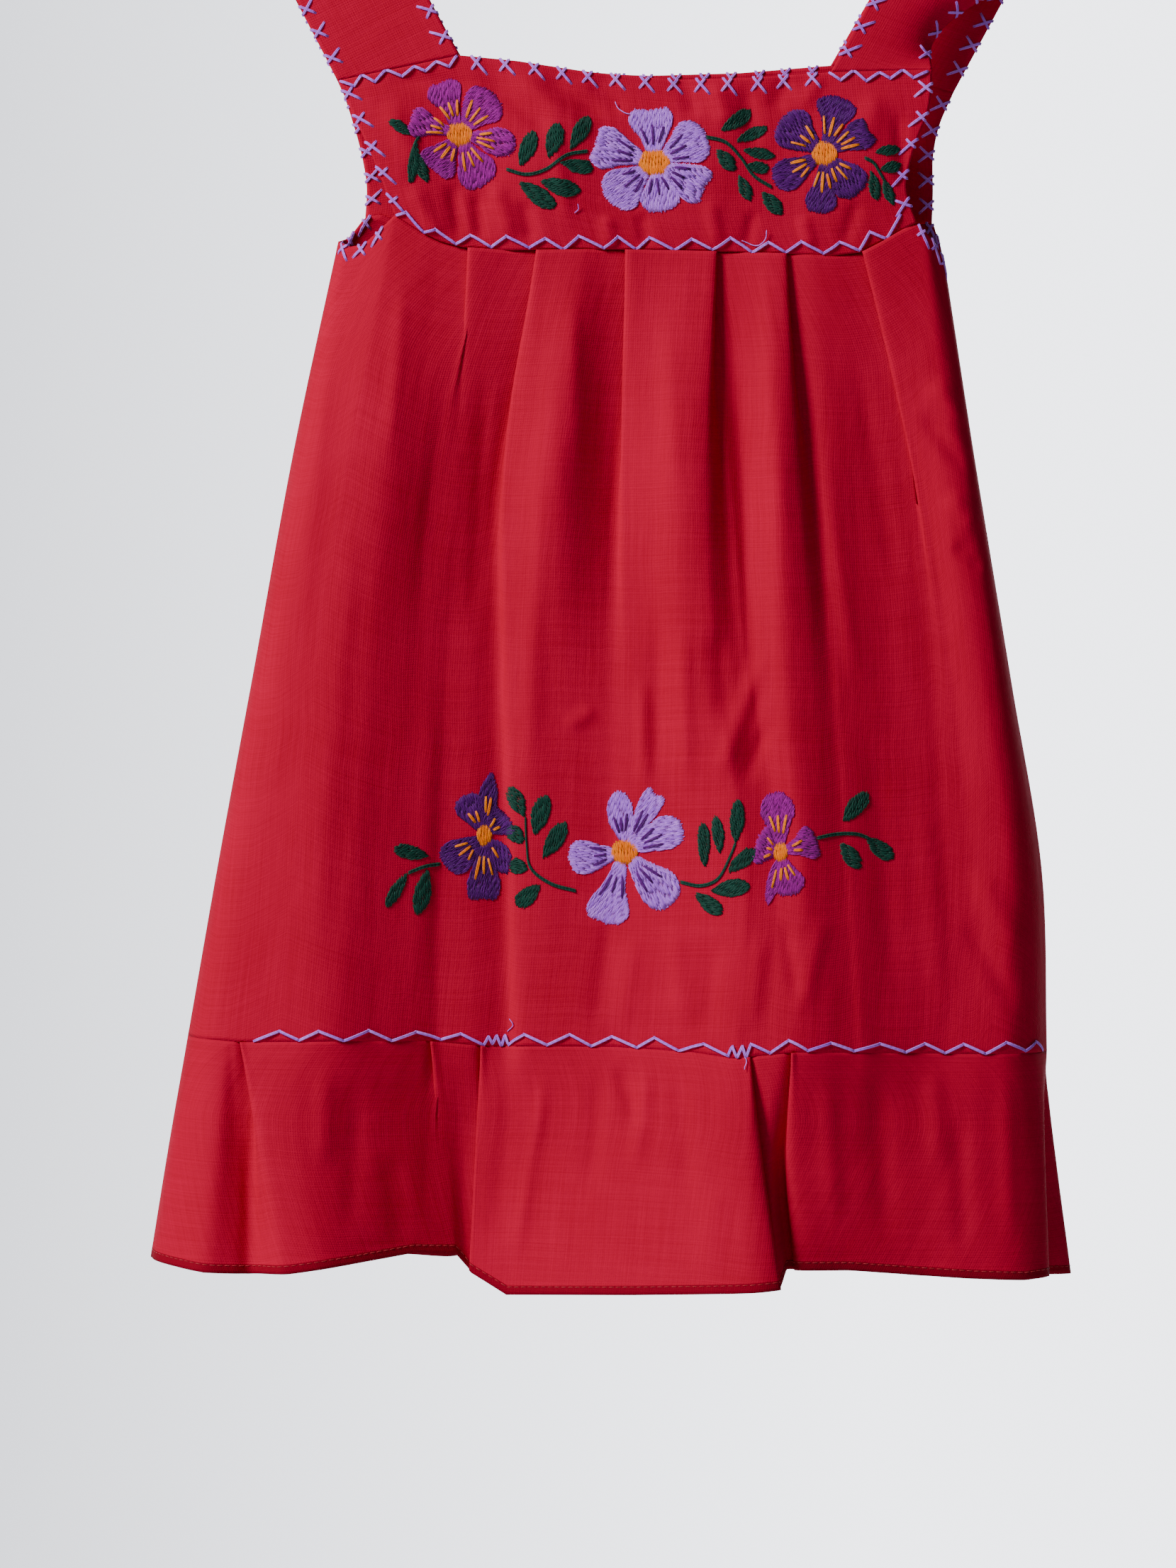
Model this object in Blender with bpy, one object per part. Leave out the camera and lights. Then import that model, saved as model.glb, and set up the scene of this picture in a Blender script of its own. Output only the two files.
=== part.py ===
"""A toddler's embroidered sun dress, hung on a plain child's hanger.

The dress is cut as a front and a back yoke with a square neck, two shoulder straps that pass over
the hanger, a front and a back skirt panel pleated onto the yokes, and a pleated ruffle round the
hem in two lengths. Every panel is a wall of cloth, open at the neck, armholes and hem.

Row frame: metres, +Z up, the front of the dress faces -Y and +X is to the right as the front is
seen. The origin is where the hanger's hook bears on a rail, so every height is a drop below it.
The tables hold millimetres. A depth is a Y value as on the front panels: more negative is further
out from the middle of the dress. The back panels are mirrored to +Y when they are built.
"""

import math
from collections import namedtuple

import bpy
import numpy as np

MM = 0.001
WALL = 1.0
SEAM_GAP = 0.4
SIDE_SEAM_DEPTH = -0.65

# A panel is a set of lines that run down the cloth, listed from left to right. A station is a
# share of the way down from the panel's top seam. At that seam the cloth lies in up to three
# layers, each LAYER_STEP from the next, and a line's layer counts out from the middle one.
SKIRT_STATIONS = (0.0, 0.267, 0.535, 0.77, 1.0)
RUFFLE_STATIONS = (0.0, 0.5, 1.0)
YOKE_DEPTH = -9.0
SKIRT_SEAM_DEPTH = -8.5
LAYER_STEP = 2.5
FRONT_LAYER, MIDDLE_LAYER, REAR_LAYER = -1.0, 0.0, 1.0
SKIRT_UNDERLAY = 7.0
RUFFLE_UNDERLAY = 6.0
TURN = 1.2
LEFT, RIGHT = -1, 1

# Soft: a line on a smooth stretch. x at every station, layer at the seam, depth below the seam.
Soft = namedtuple("Soft", "x layer depth")
# Pleat: fold is the x of its folded edge at every station and faces is the side that the edge
# faces. Below the seam it has a depth there, and the x and depth of the hollow beside it.
Pleat = namedtuple("Pleat", "faces fold depth hollow hollow_depth")
# Flank: how far a line lies in from the panel's side edge, and its depth, at every station.
Flank = namedtuple("Flank", "inset depth")

SIDE_LEFT = (-117.9, -135.5, -150.6, -164.0, -176.5)
SIDE_RIGHT = (118.5, 131.0, 144.5, 156.0, 158.0)
LEFT_FLANK = (
    Flank((2.5, 3.0, 3.0, 3.0, 3.5), (-5.0, -9.5, -10.0, -10.0, -10.5)),
    Flank((7.0, 7.5, 8.0, 8.5, 10.0), (-6.5, -14.0, -15.0, -15.5, -17.0)),
    Flank((18.5, 20.0, 22.0, 25.0, 30.0), (-8.5, -17.0, -19.0, -20.5, -22.0)),
)
RIGHT_FLANK = (
    Flank((12.0, 16.0, 17.0, 19.0, 24.0), (-8.5, -11.5, -15.5, -19.0, -22.0)),
    Flank((8.0, 10.0, 12.0, 13.0, 17.0), (-8.0, -11.5, -15.5, -18.5, -21.0)),
    Flank((5.0, 5.5, 6.5, 8.0, 10.5), (-6.0, -10.0, -13.5, -15.5, -17.5)),
    Flank((2.0, 2.0, 3.0, 4.0, 5.0), (-4.0, -6.5, -9.0, -10.0, -11.0)),
)
FRONT_SKIRT = (
    Soft((-86.0, -99.0, -112.0, -120.0, -120.0), 0.5, (-18.5, -20.5, -23.0, -24.5)),
    Soft((-76.0, -86.0, -96.0, -101.0, -101.0), 0.9, (-15.0, -16.5, -18.0, -19.0)),
    Pleat(LEFT, (-67.0, -71.0, -77.0, -80.0, -81.0), (-10.5, -11.0, -11.5, -12.5),
          (-79.0, -86.0, -89.0, -90.0), (-12.3, -13.5, -14.5, -15.5)),
    Soft((-47.0, -61.0, -66.0, -65.0, -65.0), 0.9, (-8.0, -9.3, -9.8, -11.5)),
    Pleat(LEFT, (-40.5, -52.0, -51.0, -48.5, -47.0), (-10.0, -11.0, -11.5, -13.5),
          (-54.0, -56.0, -53.5, -52.5), (-6.0, -7.2, -7.8, -9.5)),
    Soft((-35.0, -43.5, -43.0, -40.0, -38.0), -1.0, (-12.8, -12.3, -12.5, -14.5)),
    Soft((-24.0, -32.0, -32.0, -28.0, -26.0), -0.6, (-16.5, -12.4, -12.3, -15.5)),
    Soft((-12.0, -15.0, -17.0, -19.0, -20.0), 0.9, (-9.0, -11.0, -12.0, -16.0)),
    Pleat(LEFT, (-6.0, -6.5, -5.0, -4.0, -3.0), (-11.0, -13.0, -15.0, -19.5),
          (-8.5, -12.0, -13.0, -14.0), (-7.2, -10.8, -12.0, -16.5)),
    Soft((4.0, 3.0, 5.0, 8.0, 10.0), -0.8, (-14.5, -15.0, -18.5, -23.5)),
    Soft((19.0, 15.0, 16.0, 24.0, 26.0), -1.0, (-20.0, -20.0, -24.5, -30.0)),
    Pleat(RIGHT, (29.0, 26.0, 30.0, 41.0, 37.0), (-19.5, -22.0, -29.5, -34.0),
          (32.0, 39.0, 50.0, 46.0), (-14.0, -19.5, -29.0, -35.0)),
    Soft((34.0, 39.0, 43.0, 54.0, 52.0), 0.8, (-12.5, -19.5, -29.5, -36.0)),
    Soft((43.0, 45.5, 49.0, 58.0, 58.0), -0.2, (-16.0, -22.5, -30.5, -36.5)),
    Soft((49.0, 52.0, 55.0, 62.0, 64.0), -0.9, (-20.0, -25.0, -31.0, -36.0)),
    Pleat(RIGHT, (56.0, 60.0, 66.0, 70.0, 73.0), (-18.5, -23.5, -29.5, -34.5),
          (66.0, 74.0, 79.0, 83.0), (-12.0, -20.0, -26.5, -31.5)),
    Soft((65.0, 74.0, 85.0, 90.0, 93.0), 0.0, (-12.5, -18.0, -24.0, -28.5)),
    Soft((73.0, 84.0, 96.0, 101.0, 104.0), 0.2, (-10.5, -15.5, -21.5, -25.5)),
    Soft((81.5, 99.0, 108.0, 112.0, 114.0), 0.9, (-8.5, -14.0, -19.5, -23.5)),
    Pleat(LEFT, (86.0, 106.0, 119.0, 125.0, 127.0), (-9.5, -14.0, -18.5, -22.5),
          (104.0, 113.0, 118.0, 120.0), (-8.3, -13.3, -18.7, -22.8)),
)
BACK_PLEATS_AT = (-70.0, -42.0, -14.0, 18.0, 46.0, 74.0)
BACK_SPREAD = (1.0, 1.08, 1.17, 1.25, 1.3)
BACK_FOLD_DEPTH = (-14.0, -17.0, -19.5, -21.0)
BACK_HOLLOW_DEPTH = (-9.0, -11.0, -13.0, -15.0)
BACK_HOLLOW_REACH = (9.0, 11.0, 12.0, 13.0)
BACK_FLATTER = 0.75

# Edges of the front panels as (x, drop): the skirt's top from side seam to side seam, through
# both armhole scoops and along the yoke seam, the seam where the ruffle is set on, and the hem.
SKIRT_TOP = (
    (-117.9, 238.0), (-113.4, 240.8), (-107.8, 240.0), (-101.0, 234.0), (-95.7, 228.7),
    (-86.0, 235.0), (-78.0, 239.0), (-69.0, 241.3), (-50.0, 242.5), (-21.0, 242.0),
    (13.0, 242.5), (49.0, 243.5), (75.0, 244.5), (85.0, 243.3), (92.5, 239.5),
    (100.0, 235.0), (106.7, 231.7), (112.8, 237.8), (116.6, 243.5), (118.5, 249.0),
)
BACK_SKIRT_TOP = (
    (-117.9, 238.0), (-114.0, 236.0), (-108.0, 228.0), (-102.0, 226.5), (-80.0, 236.0),
    (-60.0, 240.0), (0.0, 242.0), (60.0, 240.0), (80.0, 237.0), (104.0, 231.0),
    (114.0, 230.0), (116.6, 240.0), (118.5, 249.0),
)
RUFFLE_SEAM = (
    (-176.5, 547.5), (-154.0, 549.0), (-117.0, 548.5), (-82.0, 549.0), (-61.0, 551.0),
    (-38.0, 551.0), (-10.0, 551.0), (20.0, 552.5), (35.0, 554.5), (59.0, 552.0),
    (125.0, 553.5), (158.0, 553.5),
)
FRONT_HEM = (
    (-191.0, 633.5), (-168.0, 636.5), (-151.0, 637.5), (-135.0, 636.5), (-104.0, 632.5),
    (-88.0, 630.5), (-72.0, 631.5), (-66.0, 636.5), (-52.3, 642.3), (-3.0, 642.0),
    (41.0, 641.5), (52.5, 640.8), (55.0, 635.0), (79.0, 635.6), (105.0, 638.0),
    (126.0, 639.5), (147.0, 640.5), (157.0, 640.0),
)
BACK_HEM = ((-191.0, 634.0), (-141.0, 634.5), (-12.0, 635.5), (100.0, 638.0), (170.0, 641.5))

RUFFLE_SIDE_LEFT = (-176.5, -184.0, -191.0)
RUFFLE_SIDE_RIGHT = (158.0, 155.5, 156.0)
FRONT_RUFFLE = (
    Soft((-173.5, -181.0, -187.5), 0.0, (-12.0, -14.0)),
    Soft((-167.0, -173.0, -178.0), 0.0, (-21.0, -26.0)),
    Soft((-161.0, -164.0, -168.0), 0.2, (-25.0, -33.0)),
    Soft((-157.5, -156.0, -157.0), 0.8, (-22.0, -31.0)),
    Pleat(LEFT, (-154.6, -145.5, -138.0), (-29.0, -39.0), (-150.2, -150.0), (-20.0, -28.0)),
    Soft((-136.0, -131.0, -123.0), -0.6, (-29.0, -38.0)),
    Soft((-108.0, -106.0, -104.0), 0.2, (-20.5, -28.0)),
    Soft((-86.0, -88.0, -88.0), 0.8, (-13.5, -18.0)),
    Pleat(LEFT, (-81.5, -77.3, -74.0), (-9.5, -11.0), (-82.0, -80.0), (-11.0, -14.0)),
    Soft((-70.0, -69.5, -68.0), 0.4, (-6.8, -7.5)),
    Pleat(LEFT, (-62.0, -63.3, -65.5), (-9.0, -10.5), (-58.3, -57.0), (-7.5, -8.0)),
    Soft((-39.0, -45.0, -52.3), -1.0, (-12.5, -15.0)),
    Soft((-3.0, -3.0, -3.0), -0.8, (-27.0, -37.0)),
    Soft((34.5, 37.0, 42.0), -1.0, (-41.5, -54.5)),
    Pleat(RIGHT, (41.0, 45.0, 51.0), (-41.5, -53.0), (42.5, 47.5), (-33.0, -38.0)),
    Soft((50.0, 48.5, 52.0), 0.4, (-34.5, -42.0)),
    Pleat(LEFT, (57.2, 56.5, 59.5), (-34.0, -39.0), (54.0, 57.0), (-30.0, -34.5)),
    Soft((79.0, 79.0, 79.0), -0.4, (-30.5, -34.0)),
    Soft((107.0, 107.0, 105.0), 0.0, (-25.5, -28.5)),
    Soft((131.0, 129.0, 126.0), 0.0, (-23.5, -27.0)),
    Soft((147.0, 148.0, 147.0), 0.0, (-18.5, -23.0)),
    Soft((155.0, 156.0, 157.4), 0.0, (-11.0, -13.0)),
)
BACK_RUFFLE = (
    Soft((-173.0, -180.0, -187.0), 0.0, (-9.0, -11.0)),
    Soft((-160.0, -167.0, -172.0), 0.0, (-18.0, -25.0)),
    Soft((-136.0, -147.0, -150.0), 0.8, (-14.0, -20.0)),
    Pleat(LEFT, (-128.0, -129.0, -128.0), (-22.0, -30.0), (-137.0, -140.0), (-11.0, -13.0)),
    Soft((-86.0, -94.0, -94.0), 0.4, (-17.0, -22.0)),
    Pleat(LEFT, (-65.0, -65.0, -65.0), (-23.0, -31.0), (-73.0, -76.0), (-11.0, -13.0)),
    Soft((-12.0, -12.0, -12.0), -0.6, (-24.0, -33.0)),
    Pleat(RIGHT, (40.0, 41.0, 41.0), (-23.0, -31.0), (49.0, 52.0), (-11.0, -13.0)),
    Soft((62.0, 72.0, 74.0), 0.4, (-17.0, -22.0)),
    Pleat(RIGHT, (102.0, 102.0, 102.0), (-22.0, -30.0), (110.0, 113.0), (-11.0, -13.0)),
    Soft((124.0, 132.0, 136.0), 0.4, (-17.0, -23.0)),
    Soft((150.0, 155.0, 160.0), 0.0, (-16.0, -22.0)),
    Soft((156.5, 162.5, 168.5), 0.0, (-8.0, -11.0)),
)

# Yokes. Edges as (x, drop) down each armhole, and the top line as (share across, drop).
FRONT_YOKE_LEFT = ((-118.0, 176.7), (-112.0, 188.0), (-106.0, 200.5), (-100.5, 214.5), (-95.7, 228.7))
FRONT_YOKE_RIGHT = ((112.8, 172.3), (111.5, 186.0), (106.0, 200.0), (102.6, 213.0), (106.7, 231.7))
FRONT_YOKE_TOP = (
    (0.0, 176.7), (0.205, 166.8), (0.3, 169.0), (0.42, 173.2), (0.56, 176.2),
    (0.68, 175.8), (0.828, 173.4), (1.0, 172.3),
)
BACK_YOKE_LEFT = ((-117.0, 177.5), (-113.0, 188.0), (-109.5, 203.0), (-107.5, 215.0), (-108.0, 228.0))
BACK_YOKE_RIGHT = ((122.5, 178.5), (117.0, 191.0), (114.5, 204.0), (114.5, 214.0), (114.0, 230.0))
BACK_YOKE_TOP = (
    (0.0, 177.5), (0.2, 167.5), (0.35, 170.5), (0.5, 172.0), (0.65, 171.0), (0.8, 168.0), (1.0, 178.5),
)
STRAP_SHARE = {"front": (0.205, 0.828), "back": (0.2, 0.8)}

# Straps and hanger
STRAP_WIDTH = 45.5
ARM_SLOPE = math.radians(25.0)
BAR_RADIUS = 6.0
FOLD_RADIUS = BAR_RADIUS + 0.4 + WALL / 2
HANGER_DROP = 70.0
HANGER_HALF_WIDTH = 142.0
STRAP_AT_BAR = {"left": -118.5, "right": 124.0}
BAR_BEND = 12.0
STRAP_CURL = {"left": 0.0, "right": 12.0}
WIRE_RADIUS = 1.6
HOOK_INNER_RADIUS = 17.0
HOOK_END_ANGLE = math.radians(205.0)
# The bar's rounded ends, as (distance past the straight, radius)
BAR_END = ((2.5, 5.4), (4.5, 4.0), (5.6, 2.0))

TO_BACK = np.array([1.0, -1.0, 1.0])

CLOTH_COLOUR = (0.48, 0.008, 0.018, 1.0)
WOOD_COLOUR = (0.62, 0.42, 0.24, 1.0)
STEEL_COLOUR = (0.62, 0.62, 0.64, 1.0)


def clear_scene():
    for obj in list(bpy.data.objects):
        bpy.data.objects.remove(obj)


def material(name, colour, roughness, metallic=0.0):
    made = bpy.data.materials.new(name)
    made.use_nodes = True
    shader = made.node_tree.nodes["Principled BSDF"]
    shader.inputs["Base Color"].default_value = colour
    shader.inputs["Roughness"].default_value = roughness
    shader.inputs["Metallic"].default_value = metallic
    return made


def through(nodes, per_span):
    """Points on a centripetal Catmull-Rom curve through the nodes, per_span steps to a span."""
    nodes = np.asarray(nodes, float)
    padded = np.vstack([2 * nodes[0] - nodes[1], nodes, 2 * nodes[-1] - nodes[-2]])
    points = []
    for k in range(len(nodes) - 1):
        four = padded[k : k + 4]
        steps = np.sqrt(np.maximum(np.linalg.norm(np.diff(four, axis=0), axis=1), 1e-6))
        t0, t1, t2, t3 = np.concatenate([[0.0], np.cumsum(steps)])
        for t in t1 + (t2 - t1) * np.arange(per_span) / per_span:
            a = four[0] + (four[1] - four[0]) * (t - t0) / (t1 - t0)
            b = four[1] + (four[2] - four[1]) * (t - t1) / (t2 - t1)
            c = four[2] + (four[3] - four[2]) * (t - t2) / (t3 - t2)
            d = a + (b - a) * (t - t0) / (t2 - t0)
            e = b + (c - b) * (t - t1) / (t3 - t1)
            points.append(d + (e - d) * (t - t1) / (t2 - t1))
    points.append(nodes[-1])
    return np.array(points)


def between_stations(share, stations, values):
    """The values at the stations, carried smoothly down the cloth to the given share."""
    values = np.asarray(values, float)
    k = min(np.searchsorted(stations, share, side="right") - 1, len(stations) - 2)
    k = max(k, 0)
    span = stations[k + 1] - stations[k]
    t = (share - stations[k]) / span

    def slope(i):
        if i == 0:
            return (values[1] - values[0]) / (stations[1] - stations[0])
        if i == len(stations) - 1:
            return (values[-1] - values[-2]) / (stations[-1] - stations[-2])
        return (values[i + 1] - values[i - 1]) / (stations[i + 1] - stations[i - 1])

    start, end = slope(k) * span, slope(k + 1) * span
    return (
        (2 * t**3 - 3 * t**2 + 1) * values[k]
        + (t**3 - 2 * t**2 + t) * start
        + (3 * t**2 - 2 * t**3) * values[k + 1]
        + (t**3 - t**2) * end
    )


def soft_line(row, level):
    """One line down the cloth, as (x, depth) at each station."""
    seam = (row.x[0], level(row.x[0]) + row.layer * LAYER_STEP)
    return [seam, *zip(row.x[1:], row.depth)]


def pleat_lines(row, level, underlay):
    """The four lines of one pleat, left to right along the cloth, as (x, depth) at each station."""
    edge = row.fold[0]
    under = edge - row.faces * underlay
    rear = [(under, level(under) + REAR_LAYER * LAYER_STEP)]
    middle = [(under, level(under) + MIDDLE_LAYER * LAYER_STEP)]
    behind_edge = [(edge, level(edge) + MIDDLE_LAYER * LAYER_STEP)]
    at_edge = [(edge, level(edge) + FRONT_LAYER * LAYER_STEP)]
    for x, depth, low_x, low_depth in zip(row.fold[1:], row.depth, row.hollow, row.hollow_depth):
        proud = low_depth - depth
        lip = min(max(0.25 * proud, 0.0), 1.5)
        lean = row.faces * TURN * min(proud, 0.0) / (low_x - x)
        rear.append((low_x + row.faces * TURN, low_depth + lean))
        middle.append((low_x - row.faces * TURN, low_depth - lip / 3 - lean))
        behind_edge.append((x + row.faces * TURN, depth + lip + lean))
        at_edge.append((x - row.faces * TURN, depth - lean))
    lines = [rear, middle, behind_edge, at_edge]
    return lines if row.faces == LEFT else lines[::-1]


def panel_lines(rows, level, underlay):
    lines = []
    for row in rows:
        if isinstance(row, Pleat):
            lines.extend(pleat_lines(row, level, underlay))
        else:
            lines.append(soft_line(row, level))
    return lines


def side_line(side):
    return [(x, SIDE_SEAM_DEPTH) for x in side]


def flank_lines(side, rows, inward, flatter):
    return [
        [(x + inward * inset, depth * flatter) for x, inset, depth in zip(side, row.inset, row.depth)]
        for row in rows
    ]


def skirt_lines(rows, flatter=1.0):
    """Every line that runs down a skirt panel, left to right, as (x, depth) at each station."""
    lines = [side_line(SIDE_LEFT)]
    lines += flank_lines(SIDE_LEFT, LEFT_FLANK, 1, flatter)
    lines += panel_lines(rows, lambda x: SKIRT_SEAM_DEPTH, SKIRT_UNDERLAY)
    lines += flank_lines(SIDE_RIGHT, RIGHT_FLANK, -1, flatter)
    lines.append(side_line(SIDE_RIGHT))
    return np.array(lines, float)


def back_skirt_rows():
    """The back skirt's pleats, with a line on the cloth behind and between them."""
    rows = []
    for seam_x in BACK_PLEATS_AT:
        faces = LEFT if seam_x < 0 else RIGHT
        fold = [seam_x * spread for spread in BACK_SPREAD]
        hollow = [x + faces * reach for x, reach in zip(fold[1:], BACK_HOLLOW_REACH)]
        pleat = Pleat(faces, fold, BACK_FOLD_DEPTH, hollow, BACK_HOLLOW_DEPTH)
        beside = [seam_x + faces * SKIRT_UNDERLAY * 0.8]
        beside += [x + faces * 5.0 for x in hollow]
        panel = Soft(beside, 0.9, [depth - 1.0 for depth in BACK_HOLLOW_DEPTH])
        rows += [panel, pleat] if faces == LEFT else [pleat, panel]
    middle = len(rows) // 2
    rows.insert(middle, Soft((2.0,) * len(SKIRT_STATIONS), FRONT_LAYER, (-15.0, -18.0, -21.0, -23.0)))
    return rows


def ruffle_lines(rows, side_right, skirt_hem):
    """Every line that runs down a ruffle, starting level with the skirt's lower edge."""
    hem = skirt_hem[np.argsort(skirt_hem[:, 0])]
    lines = [side_line(RUFFLE_SIDE_LEFT)]
    lines += panel_lines(rows, lambda x: np.interp(x, hem[:, 0], hem[:, 1]), RUFFLE_UNDERLAY)
    lines.append(side_line(side_right))
    return np.array(lines, float)


def drop_along(edge, x):
    return np.interp(x, [p[0] for p in edge], [p[1] for p in edge])


def hung_surface(lines, stations, top_edge, bottom_edge, shares, per_span):
    """Grid of (x, depth, drop): rows down the cloth, columns across it."""
    sections = []
    for share in shares:
        nodes = between_stations(share, stations, lines.transpose(1, 0, 2))
        sections.append(through(nodes, per_span))
    sections = np.array(sections)
    top = drop_along(top_edge, sections[0, :, 0]) + SEAM_GAP
    bottom = drop_along(bottom_edge, sections[-1, :, 0])
    drops = top + (bottom - top) * np.asarray(shares)[:, None]
    return np.dstack([sections, drops])


def yoke_surface(left, right, top_line, bottom_edge, rows, columns, waves):
    """Grid of (x, depth, drop) of a yoke between its armhole edges, neck line and skirt seam."""
    left, right = through(left, 8), through(right, 8)
    across = np.linspace(0, 1, columns)
    corners = [p[0] for p in top_line[1:-1]]
    for corner in corners:
        across[np.argmin(abs(across - corner))] = corner
    tops = np.interp(across, [p[0] for p in top_line], [p[1] for p in top_line])
    surface = []
    for share in np.linspace(0, 1, rows):
        down = share * (len(left) - 1)
        edge_left = np.interp(down, np.arange(len(left)), left[:, 0])
        edge_right = np.interp(down, np.arange(len(right)), right[:, 0])
        x = edge_left + across * (edge_right - edge_left)
        bottom_x = left[-1, 0] + across * (right[-1, 0] - left[-1, 0])
        bottoms = drop_along(bottom_edge, bottom_x)
        drops = tops + (bottoms - tops) * share
        depth = YOKE_DEPTH - waves(across, share)
        surface.append(np.column_stack([x, depth, drops]))
    return np.array(surface)


def front_yoke_waves(across, share):
    """Soft buckles in the front yoke: deepest half-way down, gone at the seams."""
    swell = math.sin(math.pi * share)
    return swell * (1.6 * np.sin(across * 2 * math.pi * 3.5 + 0.6) * (1 - 0.6 * across) + 1.8)


def back_yoke_waves(across, share):
    swell = math.sin(math.pi * share)
    return swell * (1.0 * np.sin(across * 2 * math.pi * 2.5) + 1.2)


def bar_drop(x):
    """Drop of the hanger bar's middle line: two straight arms with a soft bend between them."""
    return HANGER_DROP + math.sqrt(x * x + BAR_BEND**2) * math.tan(ARM_SLOPE)


def strap_surface(side, front_seam, back_seam, rows, columns):
    """Grid of a strap: up from the front yoke, over the hanger's arm and down to the back yoke."""
    sign = -1 if side == "left" else 1
    along_arm = np.array([sign * math.cos(ARM_SLOPE), 0.0, math.sin(ARM_SLOPE)])
    above_arm = np.array([sign * math.sin(ARM_SLOPE), 0.0, -math.cos(ARM_SLOPE)])
    outward = np.array([0.0, -1.0, 0.0])
    centre = np.array([STRAP_AT_BAR[side], 0.0, bar_drop(STRAP_AT_BAR[side])])
    curl_way = np.array([-sign * 0.95, 0.8, 0.0])
    leg = np.linspace(0, 1, rows)[:-1]
    turn = np.linspace(0, math.pi, 9)
    surface = []
    for across in np.linspace(0, 1, columns):
        over = centre + along_arm * STRAP_WIDTH * (across - 0.5)
        foot = front_seam[0] + (front_seam[1] - front_seam[0]) * (1 - across)
        line = []
        for t in leg:
            curl = STRAP_CURL[side] * math.sin(math.pi * t) * across**3
            line.append(foot + (over + outward * FOLD_RADIUS - foot) * t + curl_way * curl)
        for angle in turn:
            line.append(over + FOLD_RADIUS * (math.cos(angle) * outward + math.sin(angle) * above_arm))
        foot = back_seam[0] + (back_seam[1] - back_seam[0]) * (1 - across)
        for t in leg[::-1]:
            line.append(foot + (over - outward * FOLD_RADIUS - foot) * t)
        surface.append(line)
    return np.array(surface)


def to_metres(surface):
    """(x, depth, drop) in millimetres to points in the row frame."""
    return surface * np.array([MM, MM, -MM])


def wall_object(name, surface, finish):
    """A closed wall of cloth, WALL thick, on the middle surface that the grid gives."""
    grid = to_metres(surface)
    rows, columns = grid.shape[:2]
    down = np.gradient(grid, axis=0)
    across = np.gradient(grid, axis=1)
    normal = np.cross(across, down)
    normal /= np.linalg.norm(normal, axis=2, keepdims=True)
    half = WALL * MM / 2
    points = np.vstack([(grid + normal * half).reshape(-1, 3), (grid - normal * half).reshape(-1, 3)])
    behind = rows * columns

    def at(r, c):
        return r * columns + c

    faces = []
    for r in range(rows - 1):
        for c in range(columns - 1):
            quad = (at(r, c), at(r, c + 1), at(r + 1, c + 1), at(r + 1, c))
            faces.append(quad)
            faces.append(tuple(behind + i for i in reversed(quad)))
    rim = [at(0, c) for c in range(columns)]
    rim += [at(r, columns - 1) for r in range(1, rows)]
    rim += [at(rows - 1, c) for c in range(columns - 2, -1, -1)]
    rim += [at(r, 0) for r in range(rows - 2, 0, -1)]
    for i, j in zip(rim, rim[1:] + rim[:1]):
        faces.append((j, i, behind + i, behind + j))
    return mesh_object(name, points, faces, finish)


def mesh_object(name, points, faces, finish):
    """A mesh object with its faces pointing out and its round stretches shaded smooth."""
    mesh = bpy.data.meshes.new(name)
    mesh.from_pydata([tuple(p) for p in points], [], faces)
    mesh.materials.append(finish)
    volume = 0.0
    for polygon in mesh.polygons:
        corners = [points[i] for i in polygon.vertices]
        for k in range(1, len(corners) - 1):
            volume += np.dot(corners[0], np.cross(corners[k], corners[k + 1]))
    if volume < 0:
        mesh.flip_normals()
    mesh.shade_smooth()
    mesh.set_sharp_from_angle(angle=math.radians(50))
    obj = bpy.data.objects.new(name, mesh)
    bpy.context.scene.collection.objects.link(obj)
    return obj


def rod_object(name, line, radii, sides, finish):
    """A round rod swept along a line that stays in the plane of the garment, with closed ends."""
    line = np.asarray(line, float)
    ahead = np.gradient(line, axis=0)
    ahead /= np.linalg.norm(ahead, axis=1, keepdims=True)
    depth_axis = np.array([0.0, 1.0, 0.0])
    points, faces = [], []
    for centre, direction, radius in zip(line, ahead, radii):
        level = np.cross(direction, depth_axis)
        for k in range(sides):
            angle = 2 * math.pi * k / sides
            points.append(centre + radius * (math.cos(angle) * depth_axis + math.sin(angle) * level))
    for ring in range(len(line) - 1):
        for k in range(sides):
            a = ring * sides + k
            b = ring * sides + (k + 1) % sides
            faces.append((a, b, b + sides, a + sides))
    faces.append(tuple(reversed(range(sides))))
    last = (len(line) - 1) * sides
    faces.append(tuple(range(last, last + sides)))
    return mesh_object(name, to_metres(np.array(points)), faces, finish)


def build_skirts(cloth):
    shares = (0.0, 0.05, 0.11, 0.19, 0.29, 0.42, 0.57, 0.77, 1.0)
    back_shares = (0.0, 0.08, 0.2, 0.38, 0.6, 0.8, 1.0)
    front_rows = skirt_lines(FRONT_SKIRT)
    back_rows = skirt_lines(back_skirt_rows(), BACK_FLATTER)
    front = hung_surface(front_rows, SKIRT_STATIONS, SKIRT_TOP, RUFFLE_SEAM, shares, 2)
    back = hung_surface(back_rows, SKIRT_STATIONS, BACK_SKIRT_TOP, RUFFLE_SEAM, back_shares, 2)
    wall_object("skirt_front", front, cloth)
    wall_object("skirt_back", back * TO_BACK, cloth)
    return front[-1], back[-1]


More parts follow.
